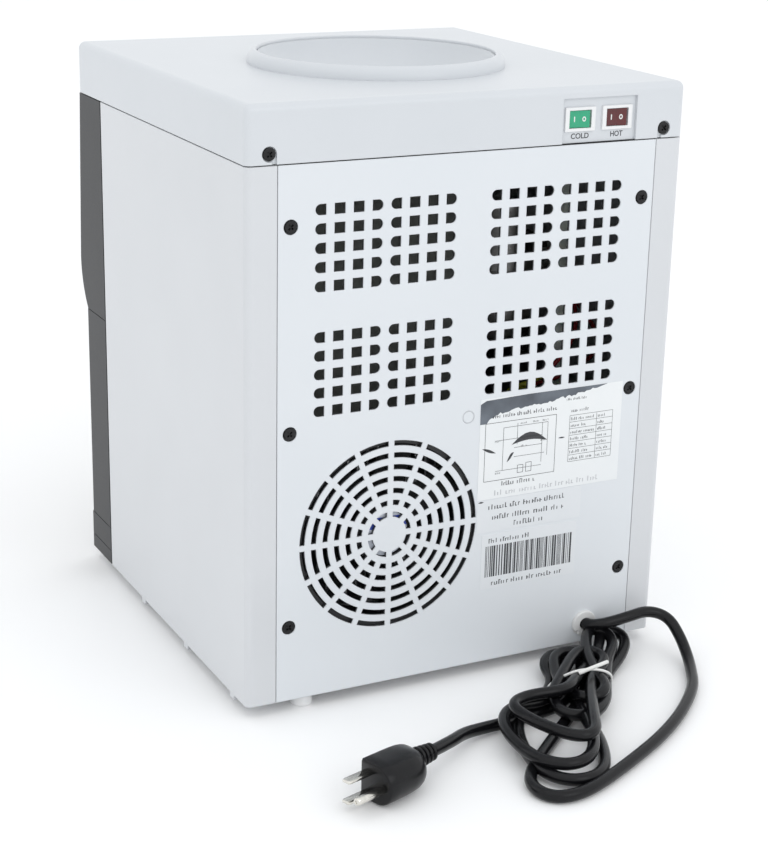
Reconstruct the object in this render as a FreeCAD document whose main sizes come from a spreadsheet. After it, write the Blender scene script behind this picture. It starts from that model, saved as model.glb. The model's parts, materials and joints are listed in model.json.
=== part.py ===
import FreeCAD, Part
import math
import os
from types import SimpleNamespace

import Sketcher

# A countertop water dispenser that takes a bottle on top, cools and heats the
# water and gives it out at two taps in front. Millimetres. The front faces -Y,
# +Z is up and the origin is on the worktop under the middle of the body.

DIMENSIONS = {
    # The casing.
    "body_width": 291.8,
    "body_rear": 152.0,
    "body_bottom": 8.0,
    "seam_height": 339.0,
    "top_height": 373.0,
    "top_front": -141.4,
    "wall": 2.5,
    "seam_gap": 0.7,
    "corner_radius": 4.0,
    "top_edge_radius": 4.5,
    "panel_front": -95.8,
    "panel_gap": 1.4,
    # The dark front.
    "head_bottom": 188.4,
    "head_knee": -148.9,
    "head_knee_height": 222.4,
    "front_line": -136.4,
    "lip_front": -152.0,
    "tray_top": 35.3,
    "tray_bottom": 18.3,
    "alcove_half": 100.0,
    "alcove_back": -77.5,
    "lens_height": 300.0,
    "lens_radius": 2.6,
    "lens_spacing": 16.0,
    # The rear cover.
    "cover_half": 126.3,
    "cover_sheet": 2.3,
    "cover_screw_x": 118.3,
    "cover_screw_low": 56.5,
    "cover_screw_step": 123.15,
    "top_screw_x": 131.5,
    "top_screw_height": 344.9,
    "recess_radius": 4.5,
    "recess_depth": 1.4,
    "vent_middle": 57.5,
    "vent_low": 188.0,
    "vent_high": 263.3,
    "vent_column_pitch": 12.05,
    "vent_row_pitch": 11.25,
    "vent_hole_width": 6.9,
    "vent_hole_height": 6.5,
    "fan_x": 51.2,
    "fan_height": 106.3,
    "grille_radius": 60.4,
    "grille_pitch": 7.6,
    "grille_slot": 3.4,
    "grille_spoke": 3.7,
    "gland_x": -93.5,
    "gland_height": 21.2,
    "cord_radius": 3.8,
    # The collar and the bottle's seat.
    "seat_y": 18.7,
    "collar_inner": 76.0,
    "collar_outer": 82.4,
    "rim_height": 381.0,
    "neck_radius": 29.5,
    "neck_bottom": 300.0,
    # The switches.
    "switch_plate_left": -111.0,
    "switch_plate_right": -58.7,
    "switch_plate_top": 366.0,
    "switch_plate_depth": 2.0,
    "cold_switch_x": -71.4,
    "hot_switch_x": -97.6,
    "switch_height": 353.3,
    "rocker_half": 7.0,
    "rocker_tilt": 8.0,
    "rocker_sink": 4.4,
    # The taps.
    "tap_x": 38.0,
    "tap_y": -116.0,
    "tap_inlet_height": 150.0,
    "lever_pivot_y": -124.0,
    "lever_pivot_height": 176.0,
    "pin_radius": 1.5,
    # The tanks.
    "cold_tank_left": -42.0,
    "cold_tank_right": 98.0,
    "cold_tank_front": -30.0,
    "cold_tank_rear": 62.0,
    "cold_tank_bottom": 82.0,
    "cold_tank_top": 325.0,
    "foam": 10.0,
    "hot_tank_x": -98.0,
    "hot_tank_y": 15.0,
    "hot_tank_radius": 36.0,
    "hot_tank_bottom": 175.0,
    "hot_tank_top": 290.0,
    # The feet.
    "foot_x": 105.5,
    "foot_rear": 142.6,
    "foot_front": -118.0,
    "foot_radius": 6.8,
    # The plug on the end of the power cord.
    "plug_x": 120.0,
    "plug_y": 275.0,
    "plug_height": 12.5,
    "plug_turn": 17.0,
}

# The power cord's route from the gland to its tied hank, and from there to the plug.
LEAD_ROUTE = [
    # Out of the gland and round the casing's corner.
    (-93.5, 151.0, 21.2),
    (-94.0, 160.0, 22.0),
    (-103.0, 165.0, 24.0),
    (-119.0, 166.0, 26.0),
    (-136.0, 164.0, 27.0),
    # Down to the floor.
    (-148.0, 171.0, 23.0),
    (-149.0, 184.0, 14.0),
    (-146.0, 197.0, 7.0),
    (-140.0, 210.0, 4.0),
    # Along the floor in a wide bow, and back into the hank.
    (-124.0, 236.0, 4.0),
    (-80.0, 274.0, 4.0),
    (-20.0, 306.0, 4.0),
    (9.0, 318.0, 4.0),
    (27.0, 317.0, 4.0),
    (34.0, 304.0, 4.0),
    (28.0, 287.0, 4.0),
]
TAIL_ROUTE = [
    (10.0, 225.0, 4.0),
    (24.0, 226.0, 5.0),
    (40.0, 232.0, 8.0),
    (56.0, 245.0, 12.0),
    (73.7, 255.6, 14.0),
]
# The hank's outer shape: its tied waist is near (-55, 208).
HANK_OUTLINE = [
    (-122.0, 158.0),
    (-98.0, 156.0),
    (-79.0, 168.0),
    (-48.0, 165.0),
    (-37.0, 182.0),
    (-31.0, 205.0),
    (10.0, 217.0),
    (24.0, 244.0),
    (24.0, 294.0),
    (8.0, 306.0),
    (-12.0, 300.0),
    (-42.0, 277.0),
    (-69.0, 234.0),
    (-93.0, 207.0),
    (-118.0, 178.0),
]
HANK_HEIGHT = 24.0

doc = FreeCAD.newDocument("water_dispenser")
sheet = doc.addObject("Spreadsheet::Sheet", "dims")
for row, (name, value) in enumerate(DIMENSIONS.items(), start=1):
    sheet.set(f"A{row}", name)
    sheet.set(f"B{row}", str(value))
    sheet.setAlias(f"B{row}", name)
doc.recompute()


class Size:
    """A length together with the sum of spreadsheet cells that it comes from."""

    def __init__(self, value, text):
        self.value = value
        self.text = text

    def __float__(self):
        return self.value

    def __add__(self, other):
        return Size(self.value + float(other), f"({self.text} + {text_of(other)})")

    def __radd__(self, other):
        return self + other

    def __sub__(self, other):
        return Size(self.value - float(other), f"({self.text} - {text_of(other)})")

    def __rsub__(self, other):
        return -self + other

    def __mul__(self, other):
        return Size(self.value * float(other), f"({self.text} * {text_of(other)})")

    def __rmul__(self, other):
        return self * other

    def __truediv__(self, other):
        return Size(self.value / float(other), f"({self.text} / {text_of(other)})")

    def __neg__(self):
        return Size(-self.value, f"(-1 * {self.text})")


def text_of(number):
    return number.text if isinstance(number, Size) else f"({number})"


d = SimpleNamespace(**{name: Size(float(sheet.get(name)), f"dims.{name}") for name in DIMENSIONS})
nodes = []


def point(x, y, z):
    return FreeCAD.Vector(float(x), float(y), float(z))


def bind(piece, **sizes):
    """Ties each property of a piece to the cells that its size comes from."""
    for name, size in sizes.items():
        piece.setExpression(name, text_of(size))


def move(piece, x, y, z):
    for axis, size in zip("xyz", (x, y, z), strict=True):
        piece.setExpression(f"Placement.Base.{axis}", text_of(size))
    return piece


def node(piece, name):
    """Makes a piece one of the dispenser's own named parts."""
    piece.Label = name
    nodes.append(piece)
    return piece


def block(name, x, y, z):
    """A box between the low and high sizes given on each axis."""
    piece = doc.addObject("Part::Box", name)
    bind(piece, Length=x[1] - x[0], Width=y[1] - y[0], Height=z[1] - z[0])
    return move(piece, x[0], y[0], z[0])


TURNS = {
    "X": FreeCAD.Rotation(FreeCAD.Vector(0, 1, 0), 90),
    "Y": FreeCAD.Rotation(FreeCAD.Vector(1, 0, 0), -90),
    "Z": FreeCAD.Rotation(),
}


def rod(name, axis, radius, span, across):
    """A cylinder along an axis over a span, centred on the other two coordinates."""
    piece = doc.addObject("Part::Cylinder", name)
    bind(piece, Radius=radius, Height=span[1] - span[0])
    piece.Placement = FreeCAD.Placement(FreeCAD.Vector(), TURNS[axis])
    place = list(across)
    place.insert("XYZ".index(axis), span[0])
    return move(piece, *place)


def join(name, *pieces):
    piece = doc.addObject("Part::MultiFuse", name)
    piece.Shapes = list(pieces)
    return piece


def group(name, *pieces):
    """Several separate solids as one named part."""
    piece = doc.addObject("Part::Compound", name)
    piece.Links = list(pieces)
    return piece


def cut(name, base, *tools):
    piece = doc.addObject("Part::Cut", name)
    piece.Base = base
    piece.Tool = tools[0] if len(tools) == 1 else join(name + "_tools", *tools)
    return piece


def rounded(name, base, radius, chosen):
    """A piece with a fillet on each edge that chosen(edge) picks."""
    doc.recompute()
    piece = doc.addObject("Part::Fillet", name)
    piece.Base = base
    size = float(radius)
    numbers = [n for n, edge in enumerate(base.Shape.Edges, start=1) if chosen(edge)]
    piece.Edges = [(n, size, size) for n in numbers]
    return piece


def shaped(name, shape, place=None):
    """A free shape as an object of the document."""
    piece = doc.addObject("Part::Feature", name)
    piece.Shape = shape
    piece.Placement = place or FreeCAD.Placement()
    return piece


def along(edge, axis):
    """Whether an edge is a straight one along an axis."""
    box = edge.BoundBox
    lengths = {"X": box.XLength, "Y": box.YLength, "Z": box.ZLength}
    return all(length < 1e-4 for name, length in lengths.items() if name != axis)


def plane_of(body, role):
    return next(plane for plane in body.Origin.OriginFeatures if plane.Role == role)


def outline(body, name, role, corners, offset=0):
    """A closed sketch through corners, (x, y) or ((x, y) on the arc, (x, y) at its end)."""
    sketch = body.newObject("Sketcher::SketchObject", name)
    sketch.AttachmentSupport = [(plane_of(body, role), "")]
    sketch.MapMode = "FlatFace"
    sketch.setExpression("AttachmentOffset.Base.z", text_of(offset))
    ends = [corner[1] if isinstance(corner[0], tuple) else corner for corner in corners]
    for number, corner in enumerate(corners):
        start = point(*ends[number - 1], 0)
        end = point(*ends[number], 0)
        if isinstance(corner[0], tuple):
            sketch.addGeometry(Part.Arc(start, point(*corner[0], 0), end), False)
            continue
        edge = sketch.addGeometry(Part.LineSegment(start, end), False)
        for which, place in ((1, ends[number - 1]), (2, ends[number])):
            for kind, size in zip(("DistanceX", "DistanceY"), place, strict=True):
                new = sketch.addConstraint(Sketcher.Constraint(kind, -1, 1, edge, which, float(size)))
                if isinstance(size, Size):
                    sketch.setExpression(f"Constraints[{new}]", size.text)
    return sketch


def padded(body, sketch, length, middle=False):
    pad = body.newObject("PartDesign::Pad", sketch.Name + "_pad")
    pad.Profile = sketch
    pad.Midplane = middle
    bind(pad, Length=length)
    return pad


def pocketed(body, sketch, length, middle=False):
    pocket = body.newObject("PartDesign::Pocket", sketch.Name + "_pocket")
    pocket.Profile = sketch
    pocket.Midplane = middle
    bind(pocket, Length=length)
    return pocket


def turned(name, corners):
    """A body turned about its own Z axis from an outline of (radius, height) corners."""
    body = doc.addObject("PartDesign::Body", name)
    sketch = outline(body, name + "_outline", "XZ_Plane", corners)
    turn = body.newObject("PartDesign::Revolution", name + "_turn")
    turn.Profile = sketch
    turn.ReferenceAxis = (sketch, ["V_Axis"])
    turn.Angle = 360
    return body


def swept(route, radius, share=0.45):
    """A round tube along straight runs with an arc at each inner point, and its arcs' radii."""
    points = [point(*place) for place in route]
    edges = []
    radii = []
    start = points[0]
    for before, here, after in zip(points, points[1:], points[2:]):
        back = before - here
        ahead = after - here
        reach = share * min(back.Length, ahead.Length)
        half_turn = (math.pi - back.getAngle(ahead)) / 2
        radii.append(reach / math.tan(half_turn))
        back.normalize()
        ahead.normalize()
        arc_start = here + back * reach
        arc_end = here + ahead * reach
        middle = back + ahead
        middle.normalize()
        depth = radii[-1] * (1 / math.cos(half_turn) - 1)
        edges.append(Part.LineSegment(start, arc_start).toShape())
        edges.append(Part.Arc(arc_start, here + middle * depth, arc_end).toShape())
        start = arc_end
    edges.append(Part.LineSegment(start, points[-1]).toShape())
    path = Part.Wire(edges)
    ring = Part.Wire([Part.Circle(points[0], points[1] - points[0], radius).toShape()])
    tube = path.makePipeShell([ring], True, False)
    return tube, radii, path.Length


def tube_solid(route, radius, bore=0.0, share=0.45):
    """A tube along a route, hollow when it has a bore."""
    outer = swept(route, radius, share)[0]
    return outer.cut(swept(route, bore, share)[0]) if bore else outer


half = d.body_width / 2
cover_top = d.seam_height - d.seam_gap


# ---- Base and feet ----


def base_plate():
    side = half - d.wall - 0.3
    tray = block("base_blank", (-side, side), (d.front_line + d.wall + 0.4, d.body_rear - 5.6), (8.4, 14.0))
    inside = side - 2.4
    hollow = block("base_hollow", (-inside, inside), (d.front_line + 5.4, d.body_rear - 8), (11.4, 16))
    holes = [
        rod(f"base_foot_hole_{n}", "Z", 3.05, (8, 16), (sx * d.foot_x, y))
        for n, (sx, y) in enumerate(FOOT_PLACES)
    ]
    slots = [
        block(f"base_slot_{n}", (d.fan_x - 45, d.fan_x + 45), (40 + 10 * n, 45 + 10 * n), (8, 12))
        for n in range(6)
    ]
    node(cut("base_plate", tray, hollow, *holes, *slots), "base_plate")


FOOT_PLACES = [(sx, y) for sx in (-1, 1) for y in (d.foot_front, d.foot_rear)]


def feet():
    pegs = []
    for n, (sx, y) in enumerate(FOOT_PLACES):
        pad = rod(f"foot_pad_{n}", "Z", d.foot_radius, (0, 8.4), (sx * d.foot_x, y))
        soft_pad = rounded(f"foot_round_{n}", pad, 0.8, lambda edge: edge.BoundBox.ZMax < 0.01)
        stem = rod(f"foot_stem_{n}", "Z", 3.0, (8.4, 12.6), (sx * d.foot_x, y))
        pegs.append(join(f"foot_{n}", soft_pad, stem))
    node(group("feet", *pegs), "feet")


# ---- Casing panels ----


def side_panel(name, side):
    """One side, which turns the rear corner and runs in behind the rear cover's edge."""
    r = d.corner_radius
    near = 0.293 * (r - d.wall)
    skin = half - d.wall
    rear = d.body_rear
    turn = 0.293 * r
    corners = [
        (half, d.panel_front),
        (half, rear - r),
        ((half - turn, rear - turn), (half - r, rear)),
        (d.cover_half + 0.4, rear),
        (d.cover_half + 0.4, rear - 2.8),
        (d.cover_half - 14.5, rear - 2.8),
        (d.cover_half - 14.5, rear - 5.2),
        (d.cover_half + 3, rear - 5.2),
        (d.cover_half + 3, rear - d.wall),
        (half - r, rear - d.wall),
        ((skin - near, rear - d.wall - near), (skin, rear - r)),
        (skin, d.panel_front),
    ]
    mirrored = []
    for corner in corners:
        if isinstance(corner[0], tuple):
            mirrored.append(tuple((side * x, y) for x, y in corner))
        else:
            mirrored.append((side * corner[0], corner[1]))
    body = doc.addObject("PartDesign::Body", name + "_shell")
    plan = outline(body, name + "_plan", "XY_Plane", mirrored, d.body_bottom)
    padded(body, plan, cover_top - d.body_bottom)
    low, high = sorted((side * (half - 4.6), side * (half - 0.4)), key=float)
    tabs = [
        block(f"{name}_tab_{n}", (low, high), (y, y + 7), (d.body_bottom - 3.6, d.body_bottom + 0.2))
        for n, y in enumerate((-34.5, 45.5, 124.5))
    ]
    holes = [
        rod(f"{name}_pilot_{n}", "Y", 1.45, (d.body_rear - 6, d.body_rear - 2), (side * d.cover_screw_x, z))
        for n, z in enumerate(COVER_SCREW_HEIGHTS)
    ]
    node(cut(name, join(name + "_joined", body, *tabs), *holes), name)


COVER_SCREW_HEIGHTS = [d.cover_screw_low + n * d.cover_screw_step for n in range(3)]


def vent_outlines(y):
    """Grids of holes, two blocks side by side, whose outer columns are D shaped."""
    holes = []
    for middle in (-float(d.vent_middle), float(d.vent_middle)):
        for low in (float(d.vent_low), float(d.vent_high)):
            for column in range(8):
                x = middle + (3.5 - column) * float(d.vent_column_pitch)
                for row in range(5):
                    z = low + row * float(d.vent_row_pitch)
                    holes.append(vent_outline(x, y, z, column % 4))
    return holes


def vent_outline(x, y, z, place):
    """A square hole, round on its outer side in the first and last columns of a block."""
    wide = float(d.vent_hole_width) / 2
    tall = float(d.vent_hole_height) / 2
    if place in (1, 2):
        top = z + 2 * tall
        return closed([(x + wide, y, z), (x + wide, y, top), (x - wide, y, top), (x - wide, y, z)])
    side = 1 if place == 0 else -1
    straight = x - side * wide
    bend = x + side * (wide - tall)
    low_corner = FreeCAD.Vector(bend, y, z)
    high_corner = FreeCAD.Vector(bend, y, z + 2 * tall)
    tip = FreeCAD.Vector(bend + side * tall, y, z + tall)
    a = FreeCAD.Vector(straight, y, z)
    b = FreeCAD.Vector(straight, y, z + 2 * tall)
    edges = [
        Part.makeLine(a, low_corner),
        Part.Arc(low_corner, tip, high_corner).toShape(),
        Part.makeLine(high_corner, b),
        Part.makeLine(b, a),
    ]
    return Part.Wire(edges)


def closed(corners):
    points = [FreeCAD.Vector(*corner) for corner in corners]
    return Part.makePolygon(points + points[:1])


def grille_outlines(y):
    """Seven rings of slots round a plain middle, parted by sixteen spokes."""
    slots = []
    for number in range(7):
        outer = float(d.grille_radius - number * d.grille_pitch)
        inner = outer - float(d.grille_slot)
        count = 8 if number == 6 else 16
        for place in range(count):
            start = math.pi / 2 + 2 * math.pi * place / count
            slots.append(slot_outline(y, inner, outer, start, math.pi / count))
    return slots


def slot_outline(y, inner, outer, start, half_step):
    """A curved slot between two spokes, which leave it parallel ends."""
    middle = start + half_step

    def ends(radius):
        reach = half_step - math.asin(float(d.grille_spoke) / 2 / radius)
        return [on_ring(y, radius, angle) for angle in (middle - reach, middle, middle + reach)]

    a, b, c = ends(outer)
    e, f, g = ends(inner)
    edges = [
        Part.Arc(a, b, c).toShape(),
        Part.makeLine(c, g),
        Part.Arc(g, f, e).toShape(),
        Part.makeLine(e, a),
    ]
    return Part.Wire(edges)


def on_ring(y, radius, angle):
    x = float(d.fan_x) + radius * math.cos(angle)
    return FreeCAD.Vector(x, y, float(d.fan_height) + radius * math.sin(angle))


def round_outline(x, y, z, radius):
    return Part.Wire([Part.Circle(point(x, y, z), FreeCAD.Vector(0, 1, 0), radius).toShape()])


def rear_cover():
    """A thin pressing with vents, a fan grille, screw holes and the gland's hole."""
    y = float(d.body_rear - d.cover_sheet)
    side, low, high = float(d.cover_half), float(d.body_bottom), float(cover_top)
    border = closed([(-side, y, low), (side, y, low), (side, y, high), (-side, y, high)])
    holes = vent_outlines(y) + grille_outlines(y)
    places = [(sx * d.cover_screw_x, z) for z in COVER_SCREW_HEIGHTS for sx in (-1, 1)]
    holes += [round_outline(x, y, z, 2.1) for x, z in places]
    holes.append(round_outline(d.gland_x, y, d.gland_height, 7.0))
    flat = shaped("cover_face", Part.makeFace([border, *holes], "Part::FaceMakerBullseye"))
    sheet = doc.addObject("Part::Extrusion", "cover_sheet_pressing")
    sheet.Base = flat
    sheet.DirMode = "Custom"
    sheet.Dir = FreeCAD.Vector(0, 1, 0)
    bind(sheet, LengthFwd=d.cover_sheet)
    sheet.Solid = True
    recess = (d.body_rear - d.recess_depth, d.body_rear + 1)
    tools = [rod(f"cover_recess_{n}", "Y", d.recess_radius, recess, place) for n, place in enumerate(places)]
    node(cut("rear_cover", sheet, group("cover_recesses", *tools)), "rear_cover")


def screw_shape(head_radius, head_height, length):
    """A pan-head cross-recess screw that points along +Y, with its head behind the origin."""
    start = FreeCAD.Vector(0, -head_height, 0)
    head = Part.makeCylinder(head_radius, head_height, start, FreeCAD.Vector(0, 1, 0))
    rim = [edge for edge in head.Edges if edge.BoundBox.YMax < -head_height + 1e-3]
    head = head.makeFillet(0.45 * head_height, rim)
    for turn in (45, 135):
        slot = Part.makeBox(1.1, 1.2, 4.0, FreeCAD.Vector(-0.55, -head_height, -2.0))
        slot.rotate(FreeCAD.Vector(), FreeCAD.Vector(0, 1, 0), turn)
        head = head.cut(slot)
    shank = Part.makeCylinder(1.4, length, FreeCAD.Vector(0, -0.2, 0), FreeCAD.Vector(0, 1, 0))
    return head.fuse(shank)


def screws(name, places, head_radius, head_height, length, towards):
    """Identical screws as one part, each driven in from the rear or from the front."""
    made = []
    turn = FreeCAD.Rotation(FreeCAD.Vector(0, 0, 1), 180 if towards < 0 else 0)
    for x, y, z in places:
        screw = screw_shape(head_radius, head_height, length)
        screw.Placement = FreeCAD.Placement(point(x, y, z), turn)
        made.append(screw)
    node(shaped(name, Part.makeCompound(made)), name)


def cover_screws():
    seat = d.body_rear - d.recess_depth
    places = [(side * d.cover_screw_x, seat, z) for z in COVER_SCREW_HEIGHTS for side in (-1, 1)]
    screws("rear_cover_screws", places, 3.7, 1.5, 9.0, -1)
    places = [(side * d.top_screw_x, seat, d.top_screw_height) for side in (-1, 1)]
    screws("top_cover_screws", places, 3.9, 1.5, 9.0, -1)


def collar():
    """The raised ring round the bottle's seat, with a ledge inside that the seat rests on."""
    inner = d.collar_inner
    outer = d.collar_outer
    under = d.top_height - d.wall
    body = turned("collar", [
        (inner, 364.0),
        (inner, d.rim_height - 0.8),
        ((inner + 0.25, d.rim_height - 0.25), (inner + 0.8, d.rim_height)),
        (inner + 1.8, d.rim_height),
        ((outer - 1.4, d.rim_height - 3.0), (outer, d.top_height)),
        (outer, under),
        (inner + 2.6, under),
        (inner + 2.6, 361.8),
        (inner - 4, 361.8),
        (inner - 4, 364.0),
    ])
    return move(body, 0, d.seat_y, 0)


def top_cover():
    low, high = d.seam_height, d.top_height
    blank = block("top_blank", (-half, half), (d.top_front, d.body_rear), (low, high))
    posts = rounded("top_posts", blank, d.corner_radius, lambda edge: along(edge, "Z"))
    top = float(high)
    outer = rounded("top_outer", posts, d.top_edge_radius, lambda edge: edge.BoundBox.ZMin > top - 0.01)
    inner = block(
        "top_inner",
        (-half + d.wall, half - d.wall),
        (d.top_front + d.wall, d.body_rear - d.wall),
        (low - 1, high - d.wall),
    )
    hole = rod("top_hole", "Z", d.collar_inner + 2.4, (low, high + 1), (0, d.seat_y))
    left, right = d.switch_plate_left, d.switch_plate_right
    deep = (d.body_rear - 6.5, d.body_rear - 2)
    boss = block("switch_boss", (left - 2.5, right + 2.5), deep, (low + 0.2, 368.5))
    screw_bosses = [
        block(f"top_screw_boss_{side + 1}", side_span(side, d.top_screw_x, 7), (d.body_rear - 6, d.body_rear - 2),
              (low + 0.2, low + 13))
        for side in (-1, 1)
    ]
    shell = join("top_shell", cut("top_hollow", outer, inner, hole), collar(), boss, *screw_bosses)
    plate = block("switch_plate", (left, right), (d.body_rear - d.switch_plate_depth, d.body_rear + 1),
                  (low - 1, d.switch_plate_top))
    tools = [plate]
    for n, x in enumerate((d.cold_switch_x, d.hot_switch_x)):
        z = d.switch_height
        tools.append(block(f"switch_window_{n}", (x - 9.1, x + 9.1), (140, 153), (z - 6.3, z + 6.3)))
    for side in (-1, 1):
        place = (side * d.top_screw_x, d.top_screw_height)
        recess = d.body_rear - d.recess_depth
        span = (recess, d.body_rear + 1)
        tools.append(rod(f"top_recess_{side + 1}", "Y", d.recess_radius, span, place))
        tools.append(rod(f"top_screw_hole_{side + 1}", "Y", 1.45, (140, d.body_rear), place))
        slot = sorted((side * (d.top_screw_x - 1.6), side * (d.top_screw_x - 4.5)), key=float)
        tools.append(block(f"top_slot_{side + 1}", slot, span, (low - 1, d.top_screw_height)))
    node(cut("top_cover", shell, *tools), "top_cover")


def side_span(side, centre, reach):
    return (side * centre - reach, side * centre + reach)


# ---- Bottle seat ----


def bottle_seat():
    """A funnel that takes the bottle's shoulder, with a sleeve for its neck."""
    neck = d.neck_radius
    seat = d.collar_inner - 0.4
    body = turned("bottle_seat", [
        (neck, d.neck_bottom),
        (neck, 342.5),
        ((neck + 0.9, 345.6), (neck + 3.5, 347.6)),
        (48.0, 353.6),
        ((65.0, 364.6), (seat - 1.0, 379.2)),
        (seat, 379.2),
        (seat, 364.4),
        (seat - 2.2, 364.4),
        (seat - 2.2, 372.0),
        ((64.0, 360.2), (48.8, 350.9)),
        (neck + 2.5, 343.8),
        (neck + 2.5, d.neck_bottom),
    ])
    node(move(body, 0, d.seat_y, 0), "bottle_seat")


# ---- Dark front ----


def head_outline(inset):
    """The head's side profile, set in by a wall's thickness all round."""
    rear = d.panel_front - d.panel_gap
    knee = d.head_knee_height
    return [
        (rear, cover_top - inset),
        (d.top_front + 0.2 + inset, cover_top - inset),
        (d.head_knee + inset, knee),
        ((d.front_line - 9.2 + 0.95 * inset, knee - 17.8 + 0.3 * inset),
         (d.front_line + 0.6 * inset, d.head_bottom + inset)),
        (rear, d.head_bottom + inset),
    ]


def front_upper_panel():
    body = doc.addObject("PartDesign::Body", "head_shell")
    profile = outline(body, "head_profile", "YZ_Plane", head_outline(0))
    padded(body, profile, d.body_width, middle=True)
    inner = outline(body, "head_hollow", "YZ_Plane", head_outline(d.wall))
    pocketed(body, inner, d.body_width - 2 * d.wall, middle=True)
    doc.recompute()
    side = float(half)
    rear = float(d.panel_front - d.panel_gap)
    soft = rounded(
        "head_soft", body, 2.0,
        lambda edge: abs(abs(edge.BoundBox.Center.x) - side) < 0.01 and edge.BoundBox.YMin < rear - 5
        and edge.BoundBox.YMax < float(d.front_line) + 1 and edge.BoundBox.ZLength > 5,
    )
    holes = [
        rod(f"lens_hole_{n}", "Y", d.lens_radius + 0.1, (-150, -130), (n * d.lens_spacing, d.lens_height))
        for n in (-1, 0, 1)
    ]
    node(cut("front_upper_panel", soft, *holes), "front_upper_panel")


def front_lower_panel():
    """The front below the head: a cheek each side of the recess that a cup stands in."""
    low, high = d.tray_top + 0.6, d.head_bottom - 0.5
    rear = d.panel_front - d.panel_gap
    back = d.alcove_back
    edge = d.alcove_half
    wall = d.wall
    face = block("cheeks", (-half, half), (d.front_line, rear), (low, high))
    face_soft = rounded(
        "cheeks_soft", face, 2.0,
        lambda e: along(e, "Z") and e.BoundBox.YMax < float(d.front_line) + 0.01,
    )
    box = block("alcove_box", (-edge - wall, edge + wall), (d.front_line + 1, back + wall), (low, high))
    tools = [block("alcove", (-edge, edge), (d.front_line - 1, back), (low - 1, high - wall))]
    for side in (-1, 1):
        span = sorted((side * (edge + wall), side * (half - wall)), key=float)
        deep, tall = (d.front_line + wall, rear + 40), (low + wall, high - wall)
        tools.append(block(f"cheek_hollow_{side + 1}", span, deep, tall))
        tap = (side * d.tap_x, d.tap_inlet_height)
        tools.append(rod(f"tap_hole_{side + 1}", "Y", 8.7, (back - 5, back + 10), tap))
    node(cut("front_lower_panel", join("front_blank", face_soft, box), *tools), "front_lower_panel")


def bowed(name, inset, back, z, side_inset=None):
    """A slab whose front edge bows out to the lip in one long arc."""
    side = half - (inset if side_inset is None else side_inset)
    sag = d.lip_front + inset
    ends = d.front_line + inset
    body = doc.addObject("PartDesign::Body", name)
    corners = [(-side, ends), ((0, sag), (side, ends)), (side, back), (-side, back)]
    padded(body, outline(body, name + "_plan", "XY_Plane", corners, z[0]), z[1] - z[0])
    return body


def front_plinth():
    rear = d.panel_front - d.panel_gap
    slab = bowed("plinth_slab", 0, rear, (d.body_bottom, d.tray_bottom - 0.5))
    pocket = block(
        "plinth_pocket", (-half + d.wall, half - d.wall), (d.front_line + d.wall, rear + 1),
        (d.body_bottom - 1, 15.4),
    )
    node(cut("front_plinth", slab, pocket), "front_plinth")


def drip_tray():
    """A tray that draws out to the front, with a tongue that reaches back into the recess."""
    rear = d.panel_front - d.panel_gap
    low, high = d.tray_bottom, d.tray_top
    slab = bowed("tray_slab", 0, rear, (low, high))
    tongue_half = d.alcove_half - 0.5
    tongue = block("tray_tongue", (-tongue_half, tongue_half), (rear - 1, d.alcove_back - 0.6), (low, high))
    well_half = tongue_half - 4
    deep = (d.front_line - 3, d.alcove_back - 4.6)
    well = block("tray_well", (-well_half, well_half), deep, (low + 2.4, high + 1))
    ledge = block(
        "tray_ledge", (-well_half - 2, well_half + 2), (d.front_line - 5, d.alcove_back - 2.6), (high - 3, high + 1)
    )
    node(cut("drip_tray", join("tray_blank", slab, tongue), well, ledge), "drip_tray")


def drip_grate():
    """A slotted lid that lies on the tray's ledge."""
    well_half = d.alcove_half - 2.9
    front, rear = d.front_line - 4.6, d.alcove_back - 3.0
    top = d.tray_top
    plate = block("grate_plate", (-well_half, well_half), (front, rear), (top - 2.9, top - 0.3))
    slots = []
    for n in range(-8, 9):
        x = 11.2 * n
        for m, (start, end) in enumerate(((front + 5, front + 28.5), (front + 32.5, rear - 5))):
            wide = (x - 2.2, x + 2.2)
            slots.append(block(f"grate_slot_{n + 8}_{m}", wide, (start, end), (top - 4, top + 1)))
    node(cut("drip_grate", plate, group("grate_slots", *slots)), "drip_grate")


def indicators():
    lenses = []
    for n in (-1, 0, 1):
        place = (n * d.lens_spacing, d.lens_height)
        stem = rod(f"lens_stem_{n + 1}", "Y", d.lens_radius, (-145.6, -139.0), place)
        lenses.append(rounded(f"lens_{n + 1}", stem, 1.6, lambda edge: edge.BoundBox.YMax < -145.0))
    node(group("indicator_lenses", *lenses), "indicator_lenses")
    board = block("indicator_sheet", (-32, 32), (-137.6, -136.0), (d.lens_height - 12, d.lens_height + 12))
    lamps = [
        rod(f"lamp_{n + 1}", "Y", 1.5, (-138.8, -137.6), (n * d.lens_spacing, d.lens_height))
        for n in (-1, 0, 1)
    ]
    posts = [
        rod(f"board_post_{n}", "Y", 2.5, (-140.4, -137.6), (x, d.lens_height + z))
        for n, (x, z) in enumerate(((-28, -8), (28, -8), (-28, 8), (28, 8)))
    ]
    node(join("indicator_board", board, *lamps, *posts), "indicator_board")


# ---- Taps ----


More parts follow.
